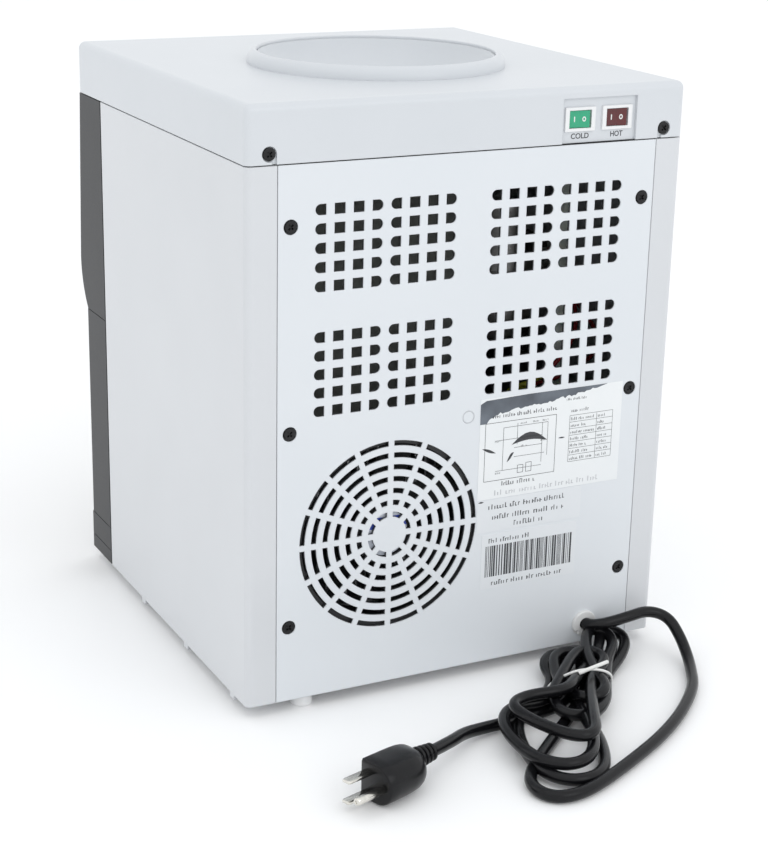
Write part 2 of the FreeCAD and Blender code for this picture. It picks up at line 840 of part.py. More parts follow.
def tap_body(name, side):
    """A barrel through the wall, an upright valve chamber, a spout and two ears for the lever's pin."""
    x, y = side * d.tap_x, d.tap_y
    inlet = d.tap_inlet_height
    back = d.alcove_back
    barrel = rod(name + "_barrel", "Y", 8.5, (y, back + 17.5), (x, inlet))
    flange = rod(name + "_flange", "Y", 14.0, (back - 4, back - 0.3), (x, inlet))
    chamber = rod(name + "_chamber", "Z", 12.5, (138, 172.5), (x, y))
    chamber_soft = rounded(name + "_chamber_soft", chamber, 1.5, lambda edge: edge.BoundBox.ZLength < 0.01)
    spout = rod(name + "_spout", "Z", 8.0, (122, 139), (x, y))
    pivot_y, pivot_z = d.lever_pivot_y, d.lever_pivot_height
    ears = [
        block(f"{name}_ear_{n}", (x + low, x + low + 3), (pivot_y - 4, pivot_y + 5), (168, pivot_z + 4))
        for n, low in enumerate((-8.2, 5.2))
    ]
    tools = [
        rod(name + "_inlet_bore", "Y", 5.0, (y, back + 18), (x, inlet)),
        rod(name + "_chamber_bore", "Z", 9.0, (141, 169.5), (x, y)),
        rod(name + "_stem_hole", "Z", 2.4, (169, 174), (x, y)),
        rod(name + "_spout_bore", "Z", 5.5, (121, 142), (x, y)),
        rod(name + "_pin_hole", "X", d.pin_radius, (x - 9, x + 9), (pivot_y, pivot_z)),
    ]
    solid = join(name + "_blank", barrel, flange, chamber_soft, spout, *ears)
    piece = solid
    for n, tool in enumerate(tools):
        piece = cut(f"{name}_cut_{n}", piece, tool)
    node(piece, name)


def tap_nuts():
    nuts = []
    for side in (-1, 1):
        nut = doc.addObject("Part::Prism", f"nut_blank_{side + 1}")
        nut.Polygon = 6
        bind(nut, Circumradius=13.5, Height=6)
        nut.Placement = FreeCAD.Placement(FreeCAD.Vector(), TURNS["Y"])
        move(nut, side * d.tap_x, d.alcove_back + d.wall + 0.2, d.tap_inlet_height)
        span = (d.alcove_back, d.alcove_back + 15)
        bore = rod(f"nut_bore_{side + 1}", "Y", 8.55, span, (side * d.tap_x, d.tap_inlet_height))
        nuts.append(cut(f"nut_{side + 1}", nut, bore))
    node(group("tap_nuts", *nuts), "tap_nuts")


def lever(name, side):
    """A paddle in front of the pin and, behind it, a fork that lifts the valve's stem."""
    x = side * d.tap_x
    y, z = d.lever_pivot_y, d.lever_pivot_height
    hub = rod(name + "_hub", "X", 3.1, (x - 4.8, x + 4.8), (y, z))
    neck = block(name + "_neck", (x - 4.6, x + 4.6), (y - 9, y), (z, z + 3.6))
    paddle = block(name + "_paddle", (x - 10.5, x + 10.5), (y - 27, y - 6), (z + 0.8, z + 5))
    front = float(y) - 6.5
    paddle_soft = rounded(name + "_paddle_soft", paddle, 1.8, lambda edge: edge.BoundBox.YMax < front)
    arm = block(name + "_arm", (x - 4.6, x + 4.6), (y, y + 13), (z - 1.4, z + 1.0))
    slot = block(name + "_slot", (x - 2.1, x + 2.1), (y + 4.6, y + 14), (z - 3, z + 3))
    bore = rod(name + "_bore", "X", d.pin_radius + 0.06, (x - 6, x + 6), (y, z))
    node(cut(name, join(name + "_blank", hub, neck, paddle_soft, arm), slot, bore), name)


def lever_pins():
    y, z = d.lever_pivot_y, d.lever_pivot_height
    pins = [
        rod(f"pin_{side + 1}", "X", d.pin_radius, (side * d.tap_x - 8.6, side * d.tap_x + 8.6), (y, z))
        for side in (-1, 1)
    ]
    node(group("lever_pins", *pins), "lever_pins")


def valve_stem(name, side):
    x, y = side * d.tap_x, d.tap_y
    seal = rod(name + "_seal", "Z", 8.4, (141.4, 145), (x, y))
    body = rod(name + "_rod", "Z", 2.0, (145, 172), (x, y))
    neck = rod(name + "_neck", "Z", 1.5, (172, 178.5), (x, y))
    head = rod(name + "_head", "Z", 3.3, (178.2, 180.5), (x, y))
    node(join(name, seal, body, neck, head), name)


def valve_spring(name, side):
    """A coil round the stem between its seal and the chamber's roof."""
    low, high, wire, mean = 145.6, 168.9, 0.5, 5.2
    turns, steps = 7, 112
    points = []
    for step in range(steps + 1):
        angle = 2 * math.pi * turns * step / steps
        rise = (high - low) * step / steps
        points.append(FreeCAD.Vector(mean * math.cos(angle), mean * math.sin(angle), rise))
    coil = Part.BSplineCurve()
    coil.interpolate(points)
    section = Part.Wire([Part.Circle(points[0], coil.tangent(0)[0], wire).toShape()])
    solid = Part.Wire([coil.toShape()]).makePipeShell([section], True, True)
    place = FreeCAD.Placement(point(side * d.tap_x, d.tap_y, low), FreeCAD.Rotation())
    node(shaped(name, solid, place), name)


def safety_catch():
    """A slide on top of the hot lever that has to be drawn back before the lever goes down."""
    x, y, z = -d.tap_x, d.lever_pivot_y, d.lever_pivot_height
    plate = block("catch_plate", (x - 6, x + 6), (y - 21, y - 12), (z + 5.3, z + 7.1))
    ridge = block("catch_ridge", (x - 5, x + 5), (y - 20, y - 18), (z + 7.0, z + 8.4))
    node(join("hot_safety_catch", plate, ridge), "hot_safety_catch")


# ---- Switches ----


def switch_housing(name, x):
    z, rear = d.switch_height, d.body_rear
    floor = rear - d.switch_plate_depth
    flange = block(name + "_flange", (x - 10.6, x + 10.6), (floor, floor + 1.2), (z - 7.25, z + 7.25))
    flange_soft = rounded(name + "_flange_soft", flange, 0.6, lambda edge: along(edge, "Y"))
    box = block(name + "_box", (x - 8.9, x + 8.9), (128, floor + 0.5), (z - 6.1, z + 6.1))
    terminals = [
        block(f"{name}_terminal_{n}", (x + dx, x + dx + 4.8), (121, 129), (z - 0.4, z + 0.4))
        for n, dx in enumerate((-7, 2.2))
    ]
    cavity = block(name + "_cavity", (x - 7.75, x + 7.75), (141.5, rear), (z - 5.4, z + 5.4))
    bore = rod(name + "_bore", "Z", 1.25, (z - 7, z + 7), (x, rear - d.rocker_sink))
    node(cut(name, join(name + "_blank", flange_soft, box, *terminals), cavity, bore), name)


def rocker(name, x):
    """A rocker with one end pressed in, on two trunnions."""
    long = float(d.rocker_half)
    outer = [(-long, 3.4), (0, 2.5), (long, 3.4), (long, -1.5), (5.0, -3.2), (-5.0, -3.2)]
    face = Part.Face(Part.makePolygon([FreeCAD.Vector(px, py, -5.1) for px, py in outer + outer[:1]]))
    key = face.extrude(FreeCAD.Vector(0, 0, 10.2))
    key = key.makeFillet(0.5, [edge for edge in key.Edges if edge.BoundBox.YMin > 3.3 and along(edge, "Z")])
    pin = Part.makeCylinder(1.2, 12.0, FreeCAD.Vector(0, 0, -6.0))
    turn = FreeCAD.Rotation(FreeCAD.Vector(0, 0, 1), -float(d.rocker_tilt))
    place = FreeCAD.Placement(point(x, d.body_rear - d.rocker_sink, d.switch_height), turn)
    node(shaped(name, key.fuse(pin).removeSplitter(), place), name)


# ---- Cooling ----


def fan_frame():
    """A square fan frame with its motor's carrier towards the rear cover."""
    x, z, rear = d.fan_x, d.fan_height, d.body_rear - d.cover_sheet - 0.5
    span = (rear - 25, rear)
    square = rounded(
        "fan_square", block("fan_blank", (x - 60, x + 60), span, (z - 60, z + 60)), 5.0,
        lambda edge: along(edge, "Y"),
    )
    hollow = cut(
        "fan_ring", square,
        rod("fan_duct", "Y", 57.6, (span[0] - 1, span[1] + 1), (x, z)),
        *[
            rod(f"fan_corner_{n}", "Y", 2.2, (span[0] - 1, span[1] + 1), (x + sx * 52.5, z + sz * 52.5))
            for n, (sx, sz) in enumerate(FAN_CORNERS)
        ],
    )
    hub = rod("fan_carrier", "Y", 20.5, (span[1] - 3.6, span[1] - 0.4), (x, z))
    arms = [
        block("fan_arm_x", (x - 58, x + 58), (span[1] - 3.4, span[1] - 0.6), (z - 1.6, z + 1.6)),
        block("fan_arm_z", (x - 1.6, x + 1.6), (span[1] - 3.4, span[1] - 0.6), (z - 58, z + 58)),
    ]
    bore = rod("fan_bearing", "Y", 1.56, (span[1] - 5, span[1] - 1.2), (x, z))
    node(cut("fan_frame", join("fan_joined", hollow, hub, *arms), bore), "fan_frame")


FAN_CORNERS = [(sx, sz) for sx in (-1, 1) for sz in (-1, 1)]


def fan_rotor():
    """A hub with seven pitched blades and the shaft that it turns on."""
    rear = float(d.body_rear - d.cover_sheet) - 0.5
    out = FreeCAD.Vector(0, 1, 0)
    rotor = Part.makeCylinder(19.5, 18.0, FreeCAD.Vector(0, rear - 22.5, 0), out)
    for number in range(7):
        blade = Part.makeBox(37.5, 20.0, 1.6, FreeCAD.Vector(18.0, -10.0, -0.8))
        blade.rotate(FreeCAD.Vector(), FreeCAD.Vector(1, 0, 0), 52)
        blade.translate(FreeCAD.Vector(0, rear - 13.5, 0))
        blade.rotate(FreeCAD.Vector(), out, 360 * number / 7)
        rotor = rotor.fuse(blade)
    rotor = rotor.fuse(Part.makeCylinder(1.5, 6.4, FreeCAD.Vector(0, rear - 8, 0), out))
    rotor = rotor.common(Part.makeCylinder(56.4, 40.0, FreeCAD.Vector(0, rear - 30, 0), out))
    place = FreeCAD.Placement(point(d.fan_x, 0, d.fan_height), FreeCAD.Rotation())
    node(shaped("fan_rotor", rotor, place), "fan_rotor")


def fan_screws():
    front = d.body_rear - d.cover_sheet - 26
    places = [(d.fan_x + sx * 52.5, front + 0.4, d.fan_height + sz * 52.5) for sx, sz in FAN_CORNERS]
    screws("fan_screws", places, 3.2, 1.8, 24.0, 1)


def heat_sink():
    x, z = d.fan_x, d.fan_height
    front = d.cold_tank_rear + 16.4
    tall = (z - 50, z + 50)
    base = block("sink_base", (x - 48, x + 48), (front, front + 6), tall)
    fins = []
    for n in range(15):
        edge = x - 48 + 6.76 * n
        fins.append(block(f"sink_fin_{n}", (edge, edge + 1.4), (front + 5, front + 42), tall))
    node(join("heat_sink", base, *fins), "heat_sink")


def cooling_stack():
    x, z, rear = d.fan_x, d.fan_height, d.cold_tank_rear
    node(block("cold_block", (x - 20, x + 20), (rear + 0.2, rear + 12.2), (z - 20, z + 20)), "cold_block")
    node(
        block("thermoelectric_module", (x - 20, x + 20), (rear + 12.4, rear + 16.2), (z - 20, z + 20)),
        "thermoelectric_module",
    )


def tank_envelope(name, grow, top):
    blank = block(
        name + "_blank",
        (d.cold_tank_left - grow, d.cold_tank_right + grow),
        (d.cold_tank_front - grow, d.cold_tank_rear + grow),
        (d.cold_tank_bottom - grow, d.cold_tank_top + top),
    )
    return rounded(name, blank, 12.0 + grow, lambda edge: along(edge, "Z"))


def cold_tank():
    """An open stainless box under the bottle's seat, with a spigot for the cold tap."""
    front, tap = d.cold_tank_front, (d.tap_x, d.tap_inlet_height)
    spigot = rod("tank_spigot", "Y", 4.0, (front - 10, front + 0.5), tap)
    port = rod("tank_port", "Y", 3.0, (front - 11, front + 2), tap)
    hollow = cut("tank_hollow", tank_envelope("tank_outer", 0, 0), tank_envelope("tank_inner", -1.2, 4))
    node(cut("cold_tank", join("tank_shell", hollow, spigot), port), "cold_tank")


def cold_tank_insulation():
    foam = d.foam
    blank = block(
        "foam_blank",
        (d.cold_tank_left - foam, d.cold_tank_right + foam),
        (d.cold_tank_front - foam, d.cold_tank_rear + foam),
        (d.cold_tank_bottom - foam, d.cold_tank_top + foam),
    )
    soft = rounded("foam_soft", blank, 4.0, lambda edge: along(edge, "Z"))
    x, z, rear = d.fan_x, d.fan_height, d.cold_tank_rear
    front, tap = d.cold_tank_front, (d.tap_x, d.tap_inlet_height)
    window = block("foam_window", (x - 20.5, x + 20.5), (rear - 1, rear + 20), (z - 20.5, z + 20.5))
    port = rod("foam_port", "Y", 4.3, (front - 20, front + 1), tap)
    cavity = tank_envelope("foam_cavity", 0.3, foam + 4)
    node(cut("cold_tank_insulation", soft, cavity, window, port), "cold_tank_insulation")


# ---- Heating ----


def can(name, radius, low, high, dome):
    blank = rod(name + "_blank", "Z", radius, (low, high), (d.hot_tank_x, d.hot_tank_y))
    return rounded(name, blank, dome, lambda edge: edge.BoundBox.ZLength < 0.01)


def hot_tank():
    low, high, radius = d.hot_tank_bottom, d.hot_tank_top, d.hot_tank_radius
    outer = can("hot_outer", radius, low, high, 14)
    inner = can("hot_inner", radius - 1.2, low + 1.2, high - 1.2, 12.8)
    node(cut("hot_tank", outer, inner), "hot_tank")


def heater_band():
    x, y, radius = d.hot_tank_x, d.hot_tank_y, d.hot_tank_radius
    ring = rod("band_ring", "Z", radius + 3, (205, 235), (x, y))
    ears = block("band_ears", (x - 6, x + 6), (y - radius - 11, y - radius), (208, 232))
    slit = block("band_slit", (x - 1.5, x + 1.5), (y - radius - 12, y - radius + 2), (204, 236))
    bore = rod("band_bore", "Z", radius + 0.2, (204, 236), (x, y))
    node(cut("heater_band", join("band_blank", ring, ears), bore, slit), "heater_band")


def thermostats():
    x, rear = d.hot_tank_x, d.hot_tank_y + d.hot_tank_radius
    pair = []
    for n, z in enumerate((190, 255)):
        can_part = rod(f"thermostat_can_{n}", "Y", 8.2, (rear + 0.2, rear + 6), (x, z))
        cap = rod(f"thermostat_cap_{n}", "Y", 6.0, (rear + 5, rear + 11), (x, z))
        tags = block(f"thermostat_tags_{n}", (x - 11, x + 11), (rear + 8, rear + 8.8), (z - 2.4, z + 2.4))
        pair.append(join(f"thermostat_{n}", can_part, cap, tags))
    node(group("thermostats", *pair), "thermostats")


# ---- Hoses, board and wires ----


def hoses():
    """The taps' feeds and the hot tank's overflow, which hangs behind the hot tank."""
    x, y, z = float(d.tap_x), float(d.alcove_back) + 17.8, float(d.tap_inlet_height)
    tap = (d.tap_x, d.tap_inlet_height)
    outer = rod("cold_hose_outer", "Y", 5.0, (d.alcove_back + 17.8, d.cold_tank_front - d.foam - 0.4), tap)
    bore = rod("cold_hose_bore", "Y", 3.6, (d.alcove_back + 17, d.cold_tank_front), tap)
    node(cut("cold_hose", outer, bore), "cold_hose")
    hot_x, hot_y = float(d.hot_tank_x), float(d.hot_tank_y - d.hot_tank_radius)
    low = float(d.hot_tank_bottom) + 20
    hot = [(-x, y, z), (-x, y + 13, z), (hot_x, y + 13, z), (hot_x, y + 13, low), (hot_x, hot_y - 0.2, low)]
    node(shaped("hot_hose", hose(hot)), "hot_hose")
    hot_top = float(d.hot_tank_top)
    vent = [
        (hot_x, 15, hot_top + 0.2),
        (hot_x, 15, 316),
        (hot_x + 8, 98, 320),
        (-92, 104, 300),
        (-92, 104, 136),
    ]
    node(shaped("vent_hose", hose(vent)), "vent_hose")


def hose(route):
    return tube_solid(route, 5.0, bore=3.6, share=0.49)


def power_board():
    board = block("board_sheet", (-138, -64), (104, 105.6), (28, 128))
    posts = [
        rod(f"board_leg_{n}", "Y", 3.0, (105.6, 112), (x, z))
        for n, (x, z) in enumerate(((-133, 33), (-69, 33), (-133, 123), (-69, 123)))
    ]
    bracket = block("board_bracket", (-140, -62), (112, 114), (11.6, 128))
    node(join("power_board", board, *posts, bracket), "power_board")


def board_components():
    """The transformer, the relays and the tall capacitors on the board."""
    parts = [
        block("transformer", (-132, -100), (76, 103.8), (40, 74)),
        block("relay_cold", (-94, -76), (86, 103.8), (40, 56)),
        block("relay_hot", (-94, -76), (86, 103.8), (62, 78)),
        rod("capacitor_0", "Y", 7.0, (78, 103.8), (-122, 98)),
        rod("capacitor_1", "Y", 7.0, (78, 103.8), (-104, 98)),
        block("terminal_block", (-92, -70), (92, 103.8), (106, 116)),
    ]
    node(group("board_components", *parts), "board_components")


def wire_leads():
    """Earth and heater wires, which rise from the board past the lower vents to the hot tank."""
    earth = [(-74, 88, 112), (-66, 86, 165), (-88, 118, 180)]
    earth += [(-126, 112, 196), (-132, 64, 214), (-127, 51, 222)]
    live = [(-80, 88, 112), (-60, 106, 150), (-42, 119, 178)]
    live += [(-72, 119, 181), (-104, 112, 205), (-116, 78, 240), (-108, 63, 252)]
    neutral = [(-86, 88, 112), (-92, 86, 150), (-104, 90, 186), (-116, 72, 196), (-108, 63, 190)]
    strands = [tube_solid(route, 1.4) for route in (earth, live, neutral)]
    node(shaped("wire_leads", Part.makeCompound(strands)), "wire_leads")


# ---- Labels ----


def labels():
    y = (d.body_rear, d.body_rear + 0.2)
    node(block("rating_label", (-113.0, -9.6), y, (118.8, 185.0)), "rating_label")
    node(block("service_label", (-86.0, -9.8), y, (96.8, 118.4)), "service_label")
    node(block("serial_label", (-84.0, -14.0), y, (58.0, 95.0)), "serial_label")


# ---- Power cord ----


def cord_gland():
    x, z, rear = d.gland_x, d.gland_height, d.body_rear
    neck = rod("gland_neck", "Y", 6.9, (rear - 6, rear + 0.1), (x, z))
    flange = rod("gland_flange", "Y", 8.6, (rear + 0.05, rear + 2.4), (x, z))
    flange_soft = rounded("gland_soft", flange, 0.8, lambda edge: edge.BoundBox.YMin > float(rear) + 2.3)
    bore = rod("gland_bore", "Y", d.cord_radius + 0.05, (rear - 7, rear + 3), (x, z))
    notch = block("gland_notch", (x + 4.5, x + 8), (rear + 0.6, rear + 3), (z - 7.5, z - 4))
    node(cut("cord_gland", join("gland_blank", neck, flange_soft), bore, notch), "cord_gland")


def power_cord():
    radius = float(d.cord_radius)
    for name, route in (("power_cord_lead", LEAD_ROUTE), ("power_cord_tail", TAIL_ROUTE)):
        tube, radii, length = swept(route, radius)
        node(shaped(name, tube), name)
        ideal = math.pi * radius**2 * length
        print(f"{name}: length {length:.1f}, volume over section times length {tube.Volume / ideal:.4f}")
        print(f"{name}: arc radii {[round(r, 1) for r in radii]}")


def power_cord_hank():
    """The outer shape of the tied, folded middle of the cord."""
    corners = [FreeCAD.Vector(x, y, 0.2) for x, y in HANK_OUTLINE]
    flat = Part.Face(Part.makePolygon(corners + corners[:1]))
    solid = flat.extrude(FreeCAD.Vector(0, 0, HANK_HEIGHT))
    solid = solid.makeFillet(6.0, [edge for edge in solid.Edges if along(edge, "Z")])
    top = [edge for edge in solid.Edges if edge.BoundBox.ZMin > HANK_HEIGHT]
    node(shaped("power_cord_hank", solid.makeChamfer(3.0, top)), "power_cord_hank")


def cord_tie():
    """A twisted tie round the waist of the hank."""
    ring = Part.makeTorus(12.4, 1.2)
    knot = Part.makeSphere(3.2, FreeCAD.Vector(12.6, 0, 0))
    turn = FreeCAD.Rotation(FreeCAD.Vector(1, 1, 0), 90)
    place = FreeCAD.Placement(FreeCAD.Vector(-50.0, 214.0, 13.8), turn)
    node(shaped("cord_tie", ring.fuse(knot), place), "cord_tie")


CORD_OFFSET = -5.0
CORD_RISE = 1.5


def plug_place():
    turn = FreeCAD.Rotation(FreeCAD.Vector(0, 0, 1), float(d.plug_turn))
    return FreeCAD.Placement(point(d.plug_x, d.plug_y, d.plug_height), turn)


def plug_section(x, flat, round_end, side):
    """A D-shaped wire across the plug: flat on the blades' side and round on the earth pin's."""
    a = FreeCAD.Vector(x, -flat, -side)
    b = FreeCAD.Vector(x, -flat, side)
    c = FreeCAD.Vector(x, round_end - side, side)
    e = FreeCAD.Vector(x, round_end - side, -side)
    arc = Part.Arc(c, FreeCAD.Vector(x, round_end, 0), e).toShape()
    lines = [Part.LineSegment(*ends).toShape() for ends in ((a, b), (b, c))]
    return Part.Wire([lines[0], lines[1], arc, Part.LineSegment(e, a).toShape()])


def plug_body():
    """A moulded plug on its side, whose cord comes in on the flat side's half."""
    sections = [
        plug_section(0, 12.2, 12.8, 12.1),
        plug_section(-25, 12.1, 10.5, 11.0),
        plug_section(-37, 12.0, 2.6, 7.3),
    ]
    grip = Part.makeLoft(sections, True, True)
    out = FreeCAD.Vector(-1, 0, 0)
    relief = Part.makeCone(4.9, 4.3, 14.0, FreeCAD.Vector(-36.0, CORD_OFFSET, CORD_RISE), out)
    ribs = [
        Part.makeCylinder(5.7 - 0.25 * n, 2.0, FreeCAD.Vector(-37.6 - 3.3 * n, CORD_OFFSET, CORD_RISE), out)
        for n in range(4)
    ]
    node(shaped("plug_body", grip.fuse([relief, *ribs]), plug_place()), "plug_body")


def plug_blades():
    parts = []
    for side in (-1, 1):
        blade = Part.makeBox(20.0, 6.3, 1.5, FreeCAD.Vector(-1.5, -8.2, side * 6.35 - 0.75))
        parts.append(blade.makeFillet(0.6, [edge for edge in blade.Edges if edge.BoundBox.XMin > 18]))
    pin = Part.makeCylinder(2.4, 23.0, FreeCAD.Vector(-1.5, 6.85, 0), FreeCAD.Vector(1, 0, 0))
    tip = [edge for edge in pin.Edges if edge.BoundBox.XMin > 21 and edge.BoundBox.ZLength > 4]
    parts.append(pin.makeFillet(1.6, tip))
    node(shaped("plug_blades", Part.makeCompound(parts), plug_place()), "plug_blades")


# ---- The whole dispenser ----

base_plate()
feet()
side_panel("left_side_panel", -1)
side_panel("right_side_panel", 1)
rear_cover()
cover_screws()
top_cover()
bottle_seat()
front_upper_panel()
front_lower_panel()
front_plinth()
drip_tray()
drip_grate()
indicators()
for tap, side in (("cold", 1), ("hot", -1)):
    tap_body(f"{tap}_tap_body", side)
    lever(f"{tap}_lever", side)
    valve_stem(f"{tap}_valve_stem", side)
    valve_spring(f"{tap}_valve_spring", side)
tap_nuts()
lever_pins()
safety_catch()
for tap, x in (("cold", d.cold_switch_x), ("hot", d.hot_switch_x)):
    switch_housing(f"{tap}_switch_housing", x)
    rocker(f"{tap}_rocker", x)
fan_frame()
fan_rotor()
fan_screws()
heat_sink()
cooling_stack()
cold_tank()
cold_tank_insulation()
hot_tank()
heater_band()
thermostats()
hoses()
power_board()
board_components()
wire_leads()
labels()
cord_gland()
power_cord()
power_cord_hank()
cord_tie()
plug_body()
plug_blades()
doc.recompute()

for piece in doc.Objects:
    if "Invalid" in piece.State or "Error" in piece.State:
        raise RuntimeError(f"{piece.Label} failed: {piece.State}")
os.makedirs("parts", exist_ok=True)
for piece in nodes:
    shape = piece.Shape
    if shape.isNull() or not shape.isValid() or not shape.Solids:
        raise RuntimeError(f"{piece.Label} has no valid solid")
    shape.exportStep(f"parts/{piece.Label}.step")
print(f"{len(nodes)} parts written")
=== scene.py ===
"""The looks of a countertop water dispenser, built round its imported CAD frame."""

import json
import math
import random

import bmesh
import bpy
from mathutils import Matrix, Vector


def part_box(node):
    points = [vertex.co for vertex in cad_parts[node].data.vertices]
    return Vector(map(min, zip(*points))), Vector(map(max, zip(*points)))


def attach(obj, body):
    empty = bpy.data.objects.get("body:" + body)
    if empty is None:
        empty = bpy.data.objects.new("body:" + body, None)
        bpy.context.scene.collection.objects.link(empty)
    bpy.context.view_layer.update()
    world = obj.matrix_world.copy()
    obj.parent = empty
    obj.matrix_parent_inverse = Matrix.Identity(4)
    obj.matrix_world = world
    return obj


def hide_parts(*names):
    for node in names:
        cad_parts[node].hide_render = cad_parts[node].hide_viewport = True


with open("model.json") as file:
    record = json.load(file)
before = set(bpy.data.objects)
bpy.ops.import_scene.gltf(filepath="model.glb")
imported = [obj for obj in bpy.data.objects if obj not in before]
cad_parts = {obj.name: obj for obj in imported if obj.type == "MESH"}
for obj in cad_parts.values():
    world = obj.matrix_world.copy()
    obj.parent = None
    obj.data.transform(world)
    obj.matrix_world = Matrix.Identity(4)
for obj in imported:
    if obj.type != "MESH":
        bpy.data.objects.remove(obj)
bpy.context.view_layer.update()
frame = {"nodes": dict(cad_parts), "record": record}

ROOT = "dispenser"
MM = 0.001

# Places that several pieces share, worked out from the frame.
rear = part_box("rear_cover")[1].y
PLUG = Vector((0.120, 0.275, 0.0125))
PLUG_TURN = math.radians(17.0)
CORD_WIDTH = 0.0074
recess_face = rear - 0.0020
# Depth behind the rear face past which the cover's vent-hole walls and back get painted shade.
PAINTED_SHADE_START = 0.0007


# ---- Camera and light ----


def make_camera():
    """A long lens behind the dispenser, a little above it, rolled by about a degree."""
    azimuth, elevation, roll = (math.radians(angle) for angle in (152.91, 18.27, 1.26))
    turn = Matrix.Rotation(azimuth, 4, "Z") @ Matrix.Rotation(math.pi / 2 - elevation, 4, "X")
    data = bpy.data.cameras.new("camera")
    data.lens = 81.05
    data.sensor_width = 36.0
    camera = bpy.data.objects.new("camera", data)
    bpy.context.collection.objects.link(camera)
    camera.matrix_world = Matrix.Translation((0.5471, 1.1107, 0.5352)) @ turn @ Matrix.Rotation(roll, 4, "Z")
    bpy.context.scene.camera = camera


def soft_light(name, place, aim, size, power, tint=(1.0, 1.0, 1.0)):
    """A rectangular lamp at a place, turned towards its aim."""
    data = bpy.data.lights.new(name, "AREA")
    data.shape = "RECTANGLE"
    data.size, data.size_y = size
    data.energy = power
    data.color = tint
    light = bpy.data.objects.new(name, data)
    light.location = place
    light.rotation_euler = (Vector(aim) - Vector(place)).to_track_quat("-Z", "Y").to_euler()
    bpy.context.collection.objects.link(light)


def make_studio():
    """A bright, even sky, three soft lamps and a plain pale floor."""
    bpy.context.scene.view_settings.view_transform = "Standard"
    world = bpy.data.worlds.new("studio")
    world.use_nodes = True
    sky = world.node_tree.nodes["Background"]
    sky.inputs["Color"].default_value = (0.97, 0.985, 1.0, 1.0)
    sky.inputs["Strength"].default_value = 1.07
    bpy.context.scene.world = world
    soft_light("key_overhead", (0.5, 0.6, 1.9), (0, 0.1, 0.1), (1.6, 1.6), 2.0)
    soft_light("fill_side", (0.9, -0.5, 0.5), (0.146, -0.1, 0.25), (0.5, 0.7), 0.3, (0.97, 0.98, 1.0))
    soft_light("fill_rear", (-0.5, 1.7, 1.2), (0, 0.15, 0.28), (1.2, 1.0), 4.0, (0.97, 0.98, 1.0))

    floor = bmesh.new()
    bmesh.ops.create_circle(floor, cap_ends=True, radius=9.0, segments=96)
    mesh = bpy.data.meshes.new("floor")
    floor.to_mesh(mesh)
    floor.free()
    piece = bpy.data.objects.new("floor", mesh)
    bpy.context.collection.objects.link(piece)
    white = surface("floor_white", (0.94, 0.94, 0.94), (0.96, 0.96, 0.96), grain=3.0, rough=(0.45, 0.6),
                    Emission_Color=(1.0, 1.0, 1.0, 1.0), Emission_Strength=0.03)
    mesh.materials.append(white)


# ---- Materials ----


def add(tree, kind, **settings):
    """Adds a node. A setting is a property of it, or else an input's value or the socket feeding it."""
    node = tree.nodes.new(kind)
    for name, value in settings.items():
        if hasattr(node, name):
            setattr(node, name, value)
            continue
        socket = node.inputs[name.replace("_", " ")]
        if isinstance(value, bpy.types.NodeSocket):
            tree.links.new(value, socket)
        else:
            socket.default_value = value
    return node


def rgba(colour):
    return (*colour, 1.0)


def new_shader(name, **values):
    """A material and its Principled shader, whose plain values are set on its own sockets."""
    material = bpy.data.materials.new(name)
    material.use_nodes = True
    shader = material.node_tree.nodes["Principled BSDF"]
    for key, value in values.items():
        shader.inputs[key.replace("_", " ")].default_value = value
    return material, material.node_tree, shader


def noise(tree, scale, stretch=None, detail=3.0):
    """Noise in the object's own space, stretched along an axis where the finish is brushed."""
    place = add(tree, "ShaderNodeTexCoord").outputs["Object"]
    if stretch:
        place = add(tree, "ShaderNodeMapping", Vector=place, Scale=stretch).outputs["Vector"]
    return add(tree, "ShaderNodeTexNoise", Vector=place, Scale=scale, Detail=detail).outputs["Fac"]


def surface(name, dark, light, grain=60.0, rough=(0.3, 0.4), bump=0.0, fine=900.0, stretch=None,
            edge=0.0, **values):
    """A material that varies between two colours, with its own roughness, grain and softened edges."""
    material, tree, shader = new_shader(name, **values)
    broad = noise(tree, grain, stretch)
    mixed = add(tree, "ShaderNodeMix", data_type="RGBA")
    tree.links.new(broad, mixed.inputs["Factor"])
    mixed.inputs["A"].default_value = rgba(dark)
    mixed.inputs["B"].default_value = rgba(light)
    tree.links.new(mixed.outputs["Result"], shader.inputs["Base Color"])
    small = noise(tree, fine, stretch, detail=2.0)
    spread = add(tree, "ShaderNodeMapRange", Value=small, To_Min=rough[0], To_Max=rough[1])
    tree.links.new(spread.outputs["Result"], shader.inputs["Roughness"])
    normal = None
    if edge:
        normal = add(tree, "ShaderNodeBevel", samples=4, Radius=edge).outputs["Normal"]
    if bump:
        rise = add(tree, "ShaderNodeBump", Height=small, Strength=0.5, Distance=bump)
        if normal:
            tree.links.new(normal, rise.inputs["Normal"])
        normal = rise.outputs["Normal"]
    if normal:
        tree.links.new(normal, shader.inputs["Normal"])
    return material


